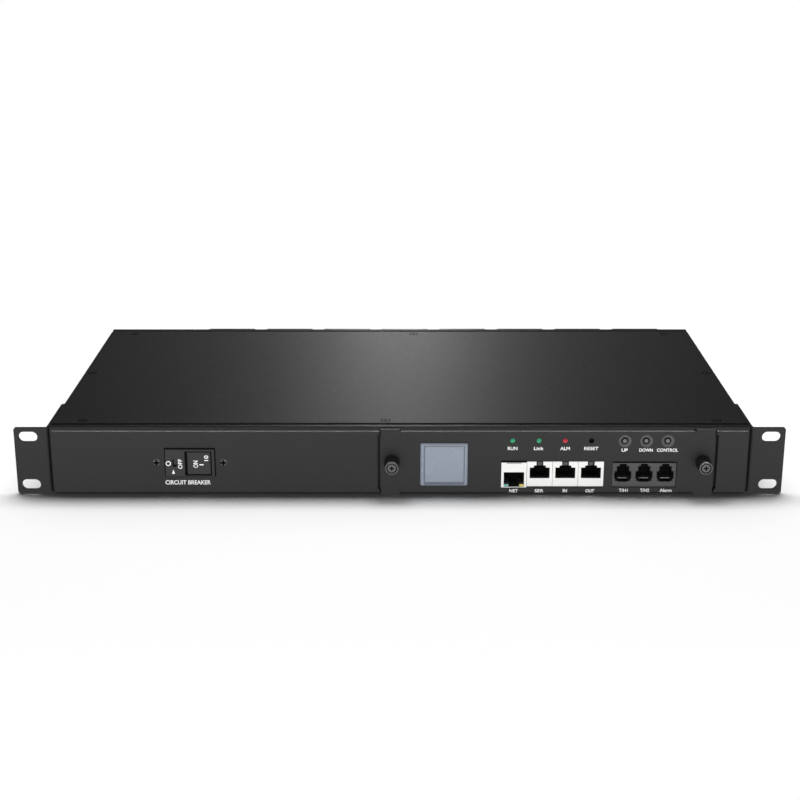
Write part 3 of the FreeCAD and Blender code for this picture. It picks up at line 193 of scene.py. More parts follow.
plasticFinishes = {
    # glass-filled nylon: a dull black skin with a dry grain
    "blackNylon": {"dark": "#1b1b1c", "light": "#222223", "grain": 0.8, "rough": (0.5, 0.62),
                   "depth": 0.015, "edge": 0.3, "shader": {"IOR": 1.53}},
    # breaker case in nylon, with painted shade that turns it near black and dull inside its well
    "breakerNylon": {"dark": "#232324", "light": "#29292a", "grain": 0.8, "rough": (0.46, 0.58),
                     "depth": 0.012, "edge": 0.3, "shader": {"IOR": 1.53},
                     "inside": {"node": "breaker_body", "skin": 0.55, "colour": "#050505"}},
    # ABS rocker: smoother than the guard beside it, with painted shade that turns it near black where it
    # goes under the guard
    "rockerAbs": {"dark": "#1f1f20", "light": "#252526", "grain": 1.1, "rough": (0.36, 0.46),
                  "depth": 0.008, "edge": 0.25, "shader": {"IOR": 1.54},
                  "inside": {"node": "breaker_rocker", "skin": 0.6, "colour": "#040404"}},
    # polycarbonate: the glossiest of the black mouldings, with crisp edges
    "outletPolycarbonate": {"dark": "#19191a", "light": "#1e1e1f", "grain": 0.9, "rough": (0.24, 0.32),
                            "depth": 0.006, "edge": 0.3, "shader": {"IOR": 1.58}},
    # polyamide inside the case: matt, faintly uneven black
    "innerPolyamide": {"dark": "#1d1e20", "light": "#25262a", "grain": 1.2, "rough": (0.45, 0.6),
                       "depth": 0.02, "edge": 0.3, "shader": {"IOR": 1.53}},
    # PBT jacks: clean white faces, with painted shade that turns their wells near black
    "whitePbt": {"dark": "#ececea", "light": "#f4f4f2", "grain": 1.5, "rough": (0.38, 0.5),
                 "depth": 0.006, "edge": 0.15, "shader": {"IOR": 1.5},
                 "inside": {"node": "serial_jack", "skin": 0.3, "colour": "#060606"}},
    # PBT sensor jacks: mid grey face, with painted shade that turns the wells near black
    "greyPbt": {"dark": "#444445", "light": "#4c4c4d", "grain": 1.2, "rough": (0.4, 0.5),
                "depth": 0.01, "edge": 0.15, "shader": {"IOR": 1.5},
                "inside": {"node": "sensor_jacks", "skin": 0.3, "colour": "#070707"}},
    # acetal rings round the push buttons: a soft grey that stands out from the coat, and as dull as the
    # springs in the jacks' latch slots, which share it
    "bezelAcetal": {"dark": "#505051", "light": "#585859", "grain": 1.0, "rough": (0.42, 0.52),
                    "depth": 0.008, "edge": 0.15, "shader": {"IOR": 1.48}},
    # silicone buttons: mid grey and dull
    "buttonSilicone": {"dark": "#68686a", "light": "#737375", "grain": 0.8, "rough": (0.5, 0.6),
                       "depth": 0.01, "edge": 0.3, "shader": {"IOR": 1.43}},
    # black silicone at the bottom of the reset hole, and the dark corners of the network jack
    "resetSilicone": {"dark": "#060606", "light": "#0a0a0a", "grain": 0.8, "rough": (0.5, 0.6),
                      "depth": 0.01, "edge": 0.3, "shader": {"IOR": 1.43}},
    # PVC sheath: brown, a little waxy
    "leadPvc": {"dark": "#3c2216", "light": "#4a2b1c", "grain": 2.0, "rough": (0.4, 0.55),
                "depth": 0.02, "edge": 0.1, "shader": {"IOR": 1.53}},
    # frosted acrylic over an unlit display: blue grey, even, with a soft sheen
    "displayAcrylic": {"dark": "#8a929f", "light": "#8c94a1", "grain": 14.0, "rough": (0.24, 0.3),
                       "depth": 0.002, "edge": 0.2, "shader": {"IOR": 1.49}},
    # the same acrylic where the groove round the viewing window lies in shadow
    "grooveShadeAcrylic": {"dark": "#5c636d", "light": "#626973", "grain": 6.0, "rough": (0.4, 0.5),
                      "depth": 0.002, "edge": 0.05, "shader": {"IOR": 1.49}},
    # PBT tongue that holds the contacts of a sensor jack
    "tonguePbt": {"dark": "#7e7e80", "light": "#8a8a8c", "grain": 1.0, "rough": (0.4, 0.5),
                  "depth": 0.008, "edge": 0.1, "shader": {"IOR": 1.5}},
    # dead matt black that stands in as painted shade: in screw crosses, round screw heads and at the edges
    # of wells
    "paintedShadeBlack": {"dark": "#050505", "light": "#0a0a0a", "grain": 0.5, "rough": (0.7, 0.85),
                     "depth": 0.01, "edge": 0.05, "shader": {"IOR": 1.45, "Specular IOR Level": 0.1}},
    # tinted lenses of the lamps and of the network jack's windows: saturated and glossy
    "greenLens": {"dark": "#2c9468", "light": "#3aa878", "grain": 1.6, "rough": (0.2, 0.3),
                  "depth": 0.004, "edge": 0.1, "shader": {"IOR": 1.49}},
    "redLens": {"dark": "#b42c38", "light": "#c4404a", "grain": 1.6, "rough": (0.2, 0.3),
                "depth": 0.004, "edge": 0.1, "shader": {"IOR": 1.49}},
    "tealLens": {"dark": "#6aa89f", "light": "#80bab1", "grain": 1.6, "rough": (0.2, 0.3),
                 "depth": 0.004, "edge": 0.1, "shader": {"IOR": 1.49}},
    "yellowLens": {"dark": "#c4b254", "light": "#d6c668", "grain": 1.6, "rough": (0.2, 0.3),
                   "depth": 0.004, "edge": 0.1, "shader": {"IOR": 1.49}},
    # screen-printed ink: flat white with a slightly broken tone
    "legendInk": {"dark": "#f2f2f0", "light": "#fdfdfb", "grain": 0.7, "rough": (0.5, 0.65),
                  "depth": 0.004, "edge": 0.02, "shader": {"IOR": 1.5}},
}


def platedMetal(name, finish):
    # Plated steel or brass: drawn and turned marks run along it and break its reflections
    material, shader, place = startMaterial(name, {"Metallic": finish["metallic"]})
    stretch = addNode(material, "Mapping", values={"Scale": finish["stretch"]}, links={"Vector": place})
    marks = addNode(material, "TexNoise", links={"Vector": stretch.outputs["Vector"]},
                    values={"Scale": perMetre(finish["grain"]), "Detail": drawnDetail})
    finishSurface(material, shader, place, marks.outputs["Fac"], finish)
    return material


metalFinishes = {
    # black zinc: grey glints on a dark head
    "blackZincScrew": {"metallic": 0.6, "dark": "#2c2c2d", "light": "#3a3a3b", "grain": 0.6,
                       "stretch": (1, 1, 1), "rough": (0.34, 0.46), "depth": 0.01, "edge": 0.15},
    # nickel over steel: the breaker's screws catch the light round their rims
    "nickelScrew": {"metallic": 0.8, "dark": "#5e5e60", "light": "#717173", "grain": 0.6,
                    "stretch": (1, 1, 1), "rough": (0.3, 0.4), "depth": 0.01, "edge": 0.15},
    # black nickel: turned grey face; painted shade darkens the knurled side and the groove
    "blackNickelKnob": {"metallic": 0.6, "dark": "#606061", "light": "#6e6e70", "grain": 0.5,
                        "stretch": (1, 4, 1), "rough": (0.3, 0.42), "depth": 0.01, "edge": 0.15,
                        "inside": {"node": "thumbscrew_left", "skin": 0.75, "colour": "#262627"}},
    # bright zinc: silver with drawn marks
    "zincPlatedSteel": {"metallic": 1.0, "dark": "#b4b7ba", "light": "#cdd0d2", "grain": 1.2,
                        "stretch": (1, 6, 1), "rough": (0.3, 0.45), "depth": 0.01, "edge": 0.2},
    # phosphor bronze drawn dark as painted shade: brown wires that hardly show in their black wells
    "shadedBronze": {"metallic": 1.0, "dark": "#221a10", "light": "#2e2417", "grain": 0.8,
                   "stretch": (1, 8, 1), "rough": (0.3, 0.42), "depth": 0.006, "edge": 0.1},
    # spring brass: warm yellow stripes along the rolling direction
    "contactBrass": {"metallic": 1.0, "dark": "#c79a4a", "light": "#ddb468", "grain": 0.8,
                     "stretch": (1, 8, 1), "rough": (0.22, 0.35), "depth": 0.006, "edge": 0.1},
}


def glassEpoxyBoard():
    # Glass epoxy board under green solder mask: raised copper tracks show as paler lines and squares
    board = {"mask": "#0d4a2a", "track": "#176a3d", "cell": 7.0, "scatter": 0.85, "spacing": 0.18,
             "line": 0.06, "rough": 0.35, "depth": 0.035, "relief": 0.6}
    material, shader, place = startMaterial("glassEpoxyBoard", {"Roughness": board["rough"], "IOR": 1.55})
    tracks = addNode(material, "TexVoronoi", {"distance": "CHEBYCHEV", "feature": "F1"},
                     {"Scale": perMetre(board["cell"]), "Randomness": board["scatter"]}, {"Vector": place})
    rings = addNode(material, "Math", {"operation": "PINGPONG"}, {1: board["spacing"]},
                    {0: tracks.outputs["Distance"]})
    lines = addNode(material, "Math", {"operation": "LESS_THAN"}, {1: board["line"]},
                    {0: rings.outputs["Value"]})
    colour = addNode(material, "Mix", {"data_type": "RGBA"},
                     {colourA: toLinear(board["mask"]), colourB: toLinear(board["track"])},
                     {"Factor": lines.outputs["Value"]})
    bump = addNode(material, "Bump", links={"Height": lines.outputs["Value"]},
                   values={"Strength": board["relief"], "Distance": board["depth"] * mm})
    link(material, colour.outputs[colourOut], shader.inputs["Base Color"])
    link(material, bump.outputs["Normal"], shader.inputs["Normal"])
    return material


materials = {"powderCoatedSteel": powderCoatedSteel(), "glassEpoxyBoard": glassEpoxyBoard()}
materials.update({name: mouldedPlastic(name, finish) for name, finish in plasticFinishes.items()})
materials.update({name: platedMetal(name, finish) for name, finish in metalFinishes.items()})

nodeFinishes = {
    "powderCoatedSteel": ["chassis_tray", "front_frame", "rear_entry_plate", "rear_panel", "top_cover",
                          "rack_ear_left", "rack_ear_right", "front_panel_left", "front_panel_right",
                          "module_faceplate"],
    "blackZincScrew": ["cover_screws", "ear_screws"],
    "nickelScrew": ["breaker_screws"],
    "blackNylon": ["gland_body", "gland_locknut", "gland_cap"],
    "breakerNylon": ["breaker_body"],
    "rockerAbs": ["breaker_rocker"],
    "outletPolycarbonate": ["outlet_%d" % number for number in range(1, 9)],
    "blackNickelKnob": ["thumbscrew_left", "thumbscrew_right", "thumb_collars"],
    "zincPlatedSteel": ["board_mounts", "thumb_nuts", "retaining_ring_left", "retaining_ring_right"],
    "contactBrass": ["contact_strips"],
    "shadedBronze": ["jack_contacts"],
    "innerPolyamide": ["terminal_block", "card_guides", "switch_bodies", "module_plug", "backplane_socket",
                       "power_supply", "current_transformer", "lcd_frame", "board_components"],
    "leadPvc": ["internal_leads"],
    "glassEpoxyBoard": ["control_board", "display_board", "backplane_board"],
    "displayAcrylic": ["lcd_lens"],
    "greenLens": ["green_lamps"],
    "redLens": ["red_lamp"],
    "whitePbt": ["net_jack", "serial_jack", "link_in_jack", "link_out_jack"],
    "greyPbt": ["sensor_jacks"],
    "buttonSilicone": ["up_button", "down_button", "control_button"],
    "resetSilicone": ["reset_button"],
}
for finish, names in nodeFinishes.items():
    for name in names:
        nodes[name].data.materials.clear()
        nodes[name].data.materials.append(materials[finish])
unfinished = set(nodes) - {name for names in nodeFinishes.values() for name in names}
print("materials on nodes:", len(nodes) - len(unfinished), "left plain:", sorted(unfinished))


# Printed legends

def letterMesh(words, size, place, turn=0.0, bold=0.02, thick=0.03):
    # one word as a thin mesh of ink, fitted to its width and height and laid on a face that looks to -Y
    curve = bpy.data.curves.new(words, "FONT")
    curve.body = words
    curve.offset = bold
    curve.extrude = 1.0  # any thickness: the fit below sets it
    holder = bpy.data.objects.new(words, curve)
    bpy.context.scene.collection.objects.link(holder)
    mesh = bpy.data.meshes.new_from_object(holder.evaluated_get(bpy.context.evaluated_depsgraph_get()))
    bpy.data.objects.remove(holder)
    bpy.data.curves.remove(curve)
    points = [v.co for v in mesh.vertices]
    low = Vector([min(p[i] for p in points) for i in range(3)])
    high = Vector([max(p[i] for p in points) for i in range(3)])
    middle = (low + high) / 2
    fit = (size[0] * mm / (high.x - low.x), size[1] * mm / (high.y - low.y), thick * mm / (high.z - low.z))
    mesh.transform(Matrix.Translation(-middle))
    mesh.transform(Matrix.Diagonal((*fit, 1)))
    mesh.transform(Matrix.Rotation(math.radians(turn), 4, "Z"))
    mesh.transform(Matrix.Rotation(math.radians(90), 4, "X"))  # stood up to face the front
    mesh.transform(Matrix.Translation(place))
    return mesh


def makeLegends(name, words, body):
    bm = bmesh.new()
    for entry in words:
        mesh = letterMesh(*entry)
        bm.from_mesh(mesh)
        bpy.data.meshes.remove(mesh)
    bmesh.ops.remove_doubles(bm, verts=bm.verts, dist=weld["ink"] * mm)
    finishPiece(bm, name, materials["legendInk"], body)


legend = {"height": 2.2, "lampDrop": 5.1, "buttonDrop": 5.9, "portDrop": 19.15, "inShift": 0.15,
          "outShift": -0.2, "sensorPitch": 13.35, "sensorShift": 0.65, "sensorRise": 0.3}
plateFace = frontOf("front_panel_left")
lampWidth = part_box("red_lamp")[1].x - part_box("red_lamp")[0].x
greenLow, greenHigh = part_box("green_lamps")
lampZ = centreOf("red_lamp").z - legend["lampDrop"] * mm
buttonZ = centreOf("up_button").z - legend["buttonDrop"] * mm
portZ = -legend["portDrop"] * mm
sensorX = centreOf("sensor_jacks").x
sensorStep = legend["sensorPitch"] * mm
sensorShift = legend["sensorShift"] * mm
sensorZ = portZ + legend["sensorRise"] * mm
moduleWords = [  # each with its width in mm
    ("RUN", 6.0, greenLow.x + lampWidth / 2, lampZ),
    ("Link", 6.0, greenHigh.x - lampWidth / 2, lampZ),
    ("ALM", 6.0, centreOf("red_lamp").x, lampZ),
    ("RESET", 8.8, centreOf("reset_button").x, lampZ),
    ("UP", 3.8, centreOf("up_button").x, buttonZ),
    ("DOWN", 8.5, centreOf("down_button").x, buttonZ),
    ("CONTROL", 13.3, centreOf("control_button").x, buttonZ),
    ("NET", 5.4, centreOf("net_jack").x, portZ),
    ("SER", 5.6, centreOf("serial_jack").x, portZ),
    ("IN", 2.7, centreOf("link_in_jack").x + legend["inShift"] * mm, portZ),
    ("OUT", 5.5, centreOf("link_out_jack").x + legend["outShift"] * mm, portZ),
    ("T/H1", 5.6, sensorX - sensorStep + sensorShift, sensorZ),
    ("T/H2", 5.8, sensorX + sensorShift, sensorZ),
    ("Alarm", 7.6, sensorX + sensorStep + sensorShift, sensorZ),
]
makeLegends("module_legends", [(words, (width, legend["height"]), Vector((x, plateFace, z)))
                               for words, width, x, z in moduleWords], "control_module")

breakerX = centreOf("breaker_body").x
guardFace = frontOf("breaker_body")
# each word's size and place in mm, from the middle of the breaker, and its turn in degrees
breakerWords = {
    "breaker_panel_legend": {"face": plateFace, "body": "chassis", "words": [
        ("CIRCUIT BREAKER", (28.5, 2.9), (-1.75, -13.45), 0.0)]},
    "guard_legends": {"face": guardFace, "body": "chassis", "words": [
        ("O", (3.3, 3.3), (-13.4, -0.3), 90.0),
        ("OFF", (6.5, 2.6), (-6.0, -0.6), 90.0)]},
    "rocker_legends": {"face": frontOf("breaker_rocker"), "body": "rocker", "words": [
        ("ON", (4.7, 3.0), (3.7, -0.8), 90.0),
        ("I", (0.7, 2.7), (7.3, -1.2), 90.0),
        ("10", (3.7, 2.6), (10.4, 3.2), 90.0)]},
}
for name, printed in breakerWords.items():
    makeLegends(name, [(words, size, Vector((breakerX + x * mm, printed["face"], z * mm)), turn)
                       for words, size, (x, z), turn in printed["words"]], printed["body"])


def makeArrow():
    # the printed triangle under the guard's words
    arrow = {"left": -11.4, "right": -9.4, "foot": -7.1, "tip": -4.4, "thick": 0.03}
    middle = (arrow["left"] + arrow["right"]) / 2
    bm = bmesh.new()
    corners = [(arrow["left"], arrow["foot"]), (arrow["right"], arrow["foot"]), (middle, arrow["tip"])]
    face = bm.faces.new([bm.verts.new((breakerX + x * mm, guardFace, z * mm)) for x, z in corners])
    raised = bmesh.ops.extrude_face_region(bm, geom=[face])["geom"]
    bmesh.ops.translate(bm, vec=(0, -arrow["thick"] * mm, 0), verts=vertsOf(raised))
    bmesh.ops.recalc_face_normals(bm, faces=bm.faces)
    finishPiece(bm, "guard_arrow", materials["legendInk"], "chassis")


makeArrow()
print("legends printed")


# Small trim on the module, the breaker and the cover

depthAxis, upAxis = (0, 1, 0), (0, 0, 1)


def addBlock(bm, low, high, soften):
    # a block between two corners, its edges softened by so many mm
    made = bmesh.ops.create_cube(bm, size=1.0)["verts"]
    bmesh.ops.scale(bm, vec=high - low, verts=made)
    bmesh.ops.translate(bm, vec=(low + high) / 2, verts=made)
    edges = list({edge for vert in made for edge in vert.link_edges})
    bmesh.ops.bevel(bm, geom=edges, offset=soften * mm, affect="EDGES", segments=2, profile=0.5,
                    material=-1)


def spinRing(bm, points, middle, axis, steps):
    # a closed outline turned once round an axis through a middle point
    ring = [bm.verts.new(point) for point in points]
    edges = [bm.edges.new((ring[i - 1], ring[i])) for i in range(len(ring))]
    bmesh.ops.spin(bm, geom=ring + edges, cent=middle, axis=axis, angle=2 * math.pi, steps=steps,
                   use_merge=True)
    bmesh.ops.remove_doubles(bm, verts=bm.verts, dist=weld["trim"] * mm)
    bmesh.ops.recalc_face_normals(bm, faces=bm.faces)


def makeBezels():
    # a thin ring lines the dish round each push button
    bezel = {"outside": 4.05, "inside": 2.25, "lip": 0.08, "depth": 1.0, "thick": 0.1, "steps": 48}
    outline = [(bezel["outside"], -bezel["lip"]), (bezel["inside"], bezel["depth"]),
               (bezel["inside"], bezel["depth"] + bezel["thick"]),
               (bezel["outside"], bezel["thick"] - bezel["lip"])]
    bm = bmesh.new()
    for name in ("up_button", "down_button", "control_button"):
        middle = centreOf(name)
        points = [(middle.x + radius * mm, plateFace + depth * mm, middle.z) for radius, depth in outline]
        spinRing(bm, points, middle, depthAxis, bezel["steps"])
    finishPiece(bm, "button_bezels", materials["bezelAcetal"], "control_module")


def makeNetTrim():
    # status windows on black corners of the plug opening, and the shield's spring tab above it
    trim = {"corner": (3.1, 6.4), "cornerRise": (0.4, 3.2), "window": (3.4, 6.3), "windowRise": (0.6, 2.2),
            "tab": 9.4, "tabHeight": 0.9, "proud": 0.06, "soften": 0.02}
    low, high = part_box("net_jack")
    middle = (low.x + high.x) / 2
    proud = trim["proud"] * mm
    corners = bmesh.new()
    for side, lens in ((-1, "tealLens"), (1, "yellowLens")):
        ends = sorted(middle + side * x * mm for x in trim["corner"])
        addBlock(corners, Vector((ends[0], low.y - proud, low.z + trim["cornerRise"][0] * mm)),
                 Vector((ends[1], low.y, low.z + trim["cornerRise"][1] * mm)), trim["soften"])
        ends = sorted(middle + side * x * mm for x in trim["window"])
        window = bmesh.new()
        addBlock(window, Vector((ends[0], low.y - 2 * proud, low.z + trim["windowRise"][0] * mm)),
                 Vector((ends[1], low.y - proud, low.z + trim["windowRise"][1] * mm)), trim["soften"])
        finishPiece(window, "net_window_" + lens, materials[lens], "control_module")
    finishPiece(corners, "net_corners", materials["resetSilicone"], "control_module")
    tab = bmesh.new()
    reach = trim["tab"] / 2 * mm
    addBlock(tab, Vector((middle - reach, low.y - 2 * proud, high.z - trim["tabHeight"] * mm)),
             Vector((middle + reach, low.y, high.z)), trim["soften"])
    finishPiece(tab, "net_spring_tab", materials["zincPlatedSteel"], "control_module")


def makeTongues():
    # the contact tongue of each sensor jack reaches forward from the back of its well
    tongue = {"width": 6.2, "rise": (5.15, 5.65), "reach": (1.6, 10.2), "soften": 0.08}
    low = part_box("sensor_jacks")[0]
    bm = bmesh.new()
    half = tongue["width"] / 2
    near, far = (Vector(corner) * mm for corner in zip((-half, half), tongue["reach"], tongue["rise"]))
    for step in (-1, 0, 1):
        middle = Vector((sensorX + step * sensorStep, low.y, low.z))
        addBlock(bm, middle + near, middle + far, tongue["soften"])
    finishPiece(bm, "sensor_tongues", materials["tonguePbt"], "control_module")


def makeFingers():
    # a shield spring slopes back from the top of the latch slot in the serial and link jacks
    finger = {"width": 2.9, "top": 0.25, "start": 0.35, "foot": 3.1, "end": 2.2, "thick": 0.2}
    bm = bmesh.new()
    for name in ("serial_jack", "link_in_jack", "link_out_jack"):
        low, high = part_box(name)
        left = Vector(((low.x + high.x - finger["width"] * mm) / 2, low.y, high.z))
        ends = [left + Vector((0, finger["start"] * mm, -finger["top"] * mm)),
                left + Vector((0, finger["end"] * mm, -finger["foot"] * mm))]
        edge = bm.edges.new([bm.verts.new(end) for end in ends])
        wide = bmesh.ops.extrude_edge_only(bm, edges=[edge])["geom"]
        bmesh.ops.translate(bm, vec=(finger["width"] * mm, 0, 0), verts=vertsOf(wide))
    bmesh.ops.recalc_face_normals(bm, faces=bm.faces)
    bmesh.ops.solidify(bm, geom=bm.faces[:], thickness=finger["thick"] * mm)
    finishPiece(bm, "jack_shield_springs", materials["bezelAcetal"], "control_module")


def makeGuardStop():
    # the moulded stop that half fills the slot in the breaker's guard
    stop = {"middle": -9.45, "width": 2.7, "height": 4.8, "left": 0.75, "foot": 1.3, "from": 0.3,
            "to": 1.4, "soften": 0.1}
    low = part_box("breaker_body")[0]
    right = breakerX + (stop["middle"] + stop["width"] / 2) * mm
    bm = bmesh.new()
    addBlock(bm, Vector((right - (stop["width"] - stop["left"]) * mm, low.y + stop["from"] * mm,
                         (stop["foot"] - stop["height"] / 2) * mm)),
             Vector((right, low.y + stop["to"] * mm, stop["height"] / 2 * mm)), stop["soften"])
    finishPiece(bm, "guard_stop", materials["breakerNylon"], "chassis")


def makeBreakerScrewShade():
    # painted shade in the crosses of the breaker's two screws
    screwShade = {"length": 3.7, "width": 1.2, "from": -0.02, "to": 0.7, "soften": 0.05}
    low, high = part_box("breaker_screws")
    head = (high.z - low.z) / 2
    bm = bmesh.new()
    for middle in (low.x + head, high.x - head):
        for reach, rise in ((screwShade["length"], screwShade["width"]), (screwShade["width"], screwShade["length"])):
            corner = Vector((reach / 2 * mm, 0, rise / 2 * mm))
            addBlock(bm, Vector((middle, low.y + screwShade["from"] * mm, 0)) - corner,
                     Vector((middle, low.y + screwShade["to"] * mm, 0)) + corner, screwShade["soften"])
    finishPiece(bm, "breaker_screw_shade", materials["paintedShadeBlack"], "chassis")


def makeCoverScrewShade():
    # painted shade in the cross of each cover screw and in the gap round its head
    screwShade = {"places": [(-200.5, 11.8), (-9.0, 11.8), (200.5, 11.8), (-213.6, 114.0), (213.6, 114.0),
                       (-200.5, 214.8), (10.5, 214.8), (200.5, 214.8)],
            "inside": 2.4, "outside": 3.1, "proud": 0.02, "depth": 0.3, "length": 3.2, "width": 0.8,
            "soften": 0.01, "steps": 40}
    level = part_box("cover_screws")[1].z
    outline = [(screwShade["inside"], -screwShade["depth"]), (screwShade["outside"], -screwShade["depth"]),
               (screwShade["outside"], screwShade["proud"]), (screwShade["inside"], screwShade["proud"])]
    bm = bmesh.new()
    for x, y in screwShade["places"]:
        middle = Vector((x * mm, y * mm, level))
        points = [(middle.x + radius * mm, middle.y, level + rise * mm) for radius, rise in outline]
        spinRing(bm, points, middle, upAxis, screwShade["steps"])
        for reach, across in ((screwShade["length"], screwShade["width"]), (screwShade["width"], screwShade["length"])):
            corner = Vector((reach / 2 * mm, across / 2 * mm, 0))
            addBlock(bm, middle - corner - Vector((0, 0, screwShade["depth"] * mm)),
                     middle + corner + Vector((0, 0, screwShade["proud"] * mm)), screwShade["soften"])
    finishPiece(bm, "cover_screw_shade", materials["paintedShadeBlack"], "chassis")


def makeDisplayGrooveShade():
    # painted shade of the groove round the display's viewing window, drawn as a line that is widest at its
    # foot
    groove = {"left": 2.3, "right": 1.9, "top": 1.45, "foot": 0.8, "side": 0.6, "head": 0.22, "base": 1.85,
              "proud": 0.02, "soften": 0.005}
    low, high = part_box("lcd_lens")
    left, right = low.x + groove["left"] * mm, high.x - groove["right"] * mm
    foot, top = low.z + groove["foot"] * mm, high.z - groove["top"] * mm
    side = groove["side"] * mm
    bm = bmesh.new()
    for x, z in (((left, left + side), (foot, top)), ((right - side, right), (foot, top)),
                 ((left + side, right - side), (top - groove["head"] * mm, top)),
                 ((left + side, right - side), (foot, foot + groove["base"] * mm))):
        addBlock(bm, Vector((x[0], low.y - groove["proud"] * mm, z[0])), Vector((x[1], low.y, z[1])),
                 groove["soften"])
    finishPiece(bm, "display_groove_shade", materials["grooveShadeAcrylic"], "control_module")


def makeSensorCornerShade():
    # painted shade beside the lower slot of each sensor jack carries its dark well further down
    cornerShade = {"inside": 2.9, "outside": 4.75, "top": 11.0, "foot": 12.9, "proud": 0.04, "soften": 0.015}
    front = frontOf("sensor_jacks")
    bm = bmesh.new()
    for step in (-1, 0, 1):
        for side in (-1, 1):
            middle = sensorX + step * sensorStep
            ends = sorted(middle + side * cornerShade[end] * mm for end in ("inside", "outside"))
            addBlock(bm, Vector((ends[0], front - cornerShade["proud"] * mm, -cornerShade["foot"] * mm)),
                     Vector((ends[1], front, -cornerShade["top"] * mm)), cornerShade["soften"])
    finishPiece(bm, "sensor_corner_shade", materials["paintedShadeBlack"], "control_module")


def makeResetRimShade():
    # painted shade round the rim of the reset hole
    rim = {"outside": 1.7, "inside": 1.2, "proud": 0.03, "steps": 40}
    middle = centreOf("reset_button")
    outline = [(rim["outside"], 0.0), (rim["inside"], 0.0), (rim["inside"], -rim["proud"]),
               (rim["outside"], -rim["proud"])]
    bm = bmesh.new()
    points = [(middle.x + radius * mm, plateFace + depth * mm, middle.z) for radius, depth in outline]
    spinRing(bm, points, middle, depthAxis, rim["steps"])
    finishPiece(bm, "reset_rim_shade", materials["paintedShadeBlack"], "control_module")


makeBezels()
makeDisplayGrooveShade()
makeSensorCornerShade()
makeResetRimShade()
makeFingers()
makeGuardStop()
makeBreakerScrewShade()
makeCoverScrewShade()
makeNetTrim()
makeTongues()
print("trim fitted")


# Parts on the control board

def addLeg(bm, start, out, across, leg):
    # one gull-wing leg: out of the chip, down to the board and along it
    steps = [(0.0, 0.0), (leg["shoulder"], 0.0), (leg["shoulder"] + leg["slope"], -leg["drop"]),
             (leg["shoulder"] + leg["slope"] + leg["foot"], -leg["drop"])]
    line = [bm.verts.new(start + out * (reach * mm) + Vector((0, 0, rise * mm))) for reach, rise in steps]
    edges = [bm.edges.new(pair) for pair in zip(line, line[1:])]
    wide = bmesh.ops.extrude_edge_only(bm, edges=edges)["geom"]
    bmesh.ops.translate(bm, vec=across * (leg["width"] * mm), verts=vertsOf(wide))


def makeChipLegs():
    # legs along two sides of each chip, or along all four where its ends have them too
    leg = {"shoulder": 0.25, "slope": 0.2, "drop": 0.6, "foot": 0.4, "width": 0.45, "thick": 0.12,
           "level": 0.75}
    chips = {"processor": {"column": 0.0, "row": 24.5, "width": 18.0, "depth": 18.0, "legs": 14,
                           "ends": True},
             "memory": {"column": 20.7, "row": 24.5, "width": 11.4, "depth": 8.0, "legs": 7,
                        "ends": False}}
    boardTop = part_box("control_board")[1].z
    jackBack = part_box("link_in_jack")[1].y
    jackX = centreOf("link_in_jack").x
    bm = bmesh.new()
    for chip in chips.values():
        middle = Vector((jackX + chip["column"] * mm, jackBack + (chip["row"] + chip["depth"] / 2) * mm,
                         boardTop + leg["level"] * mm))
        sides = [Vector((1, 0, 0)), Vector((-1, 0, 0))]
        if chip["ends"]:
            sides += [Vector((0, 1, 0)), Vector((0, -1, 0))]
        for out in sides:
            across = Vector((abs(out.y), abs(out.x), 0))
            reach, room = (chip["width"], chip["depth"]) if out.x else (chip["depth"], chip["width"])
            pitch = room / (chip["legs"] + 1)
            for number in range(chip["legs"]):
                shift = pitch * (number - (chip["legs"] - 1) / 2) - leg["width"] / 2
                addLeg(bm, middle + out * (reach / 2 * mm) + across * (shift * mm), out, across, leg)
    bmesh.ops.remove_doubles(bm, verts=bm.verts, dist=weld["trim"] * mm)
    bmesh.ops.recalc_face_normals(bm, faces=bm.faces)
    bmesh.ops.solidify(bm, geom=bm.faces[:], thickness=leg["thick"] * mm)
    finishPiece(bm, "chip_legs", materials["zincPlatedSteel"], "control_module")


def makeCapTops():
    # bare metal end of each capacitor, dished inside its sleeve
    top = {"pitch": 12.5, "row": 8.6, "outside": 4.1, "inside": 3.5, "thick": 0.12, "dish": 0.06,
           "steps": 40}
    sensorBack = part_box("sensor_jacks")[1].y
    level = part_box("board_components")[1].z
    outline = [(0.0, top["dish"]), (top["inside"], top["dish"]), (top["outside"], top["thick"]),
               (top["outside"], 0.0), (0.0, 0.0)]
    bm = bmesh.new()
    for step in (-1, 0, 1):
        middle = Vector((sensorX + step * top["pitch"] * mm, sensorBack + top["row"] * mm, level))
        points = [(middle.x + radius * mm, middle.y, level + rise * mm) for radius, rise in outline]
        spinRing(bm, points, middle, upAxis, top["steps"])
    finishPiece(bm, "capacitor_tops", materials["zincPlatedSteel"], "control_module")


makeChipLegs()
makeCapTops()
print("board parts fitted")


# Stage, light and camera

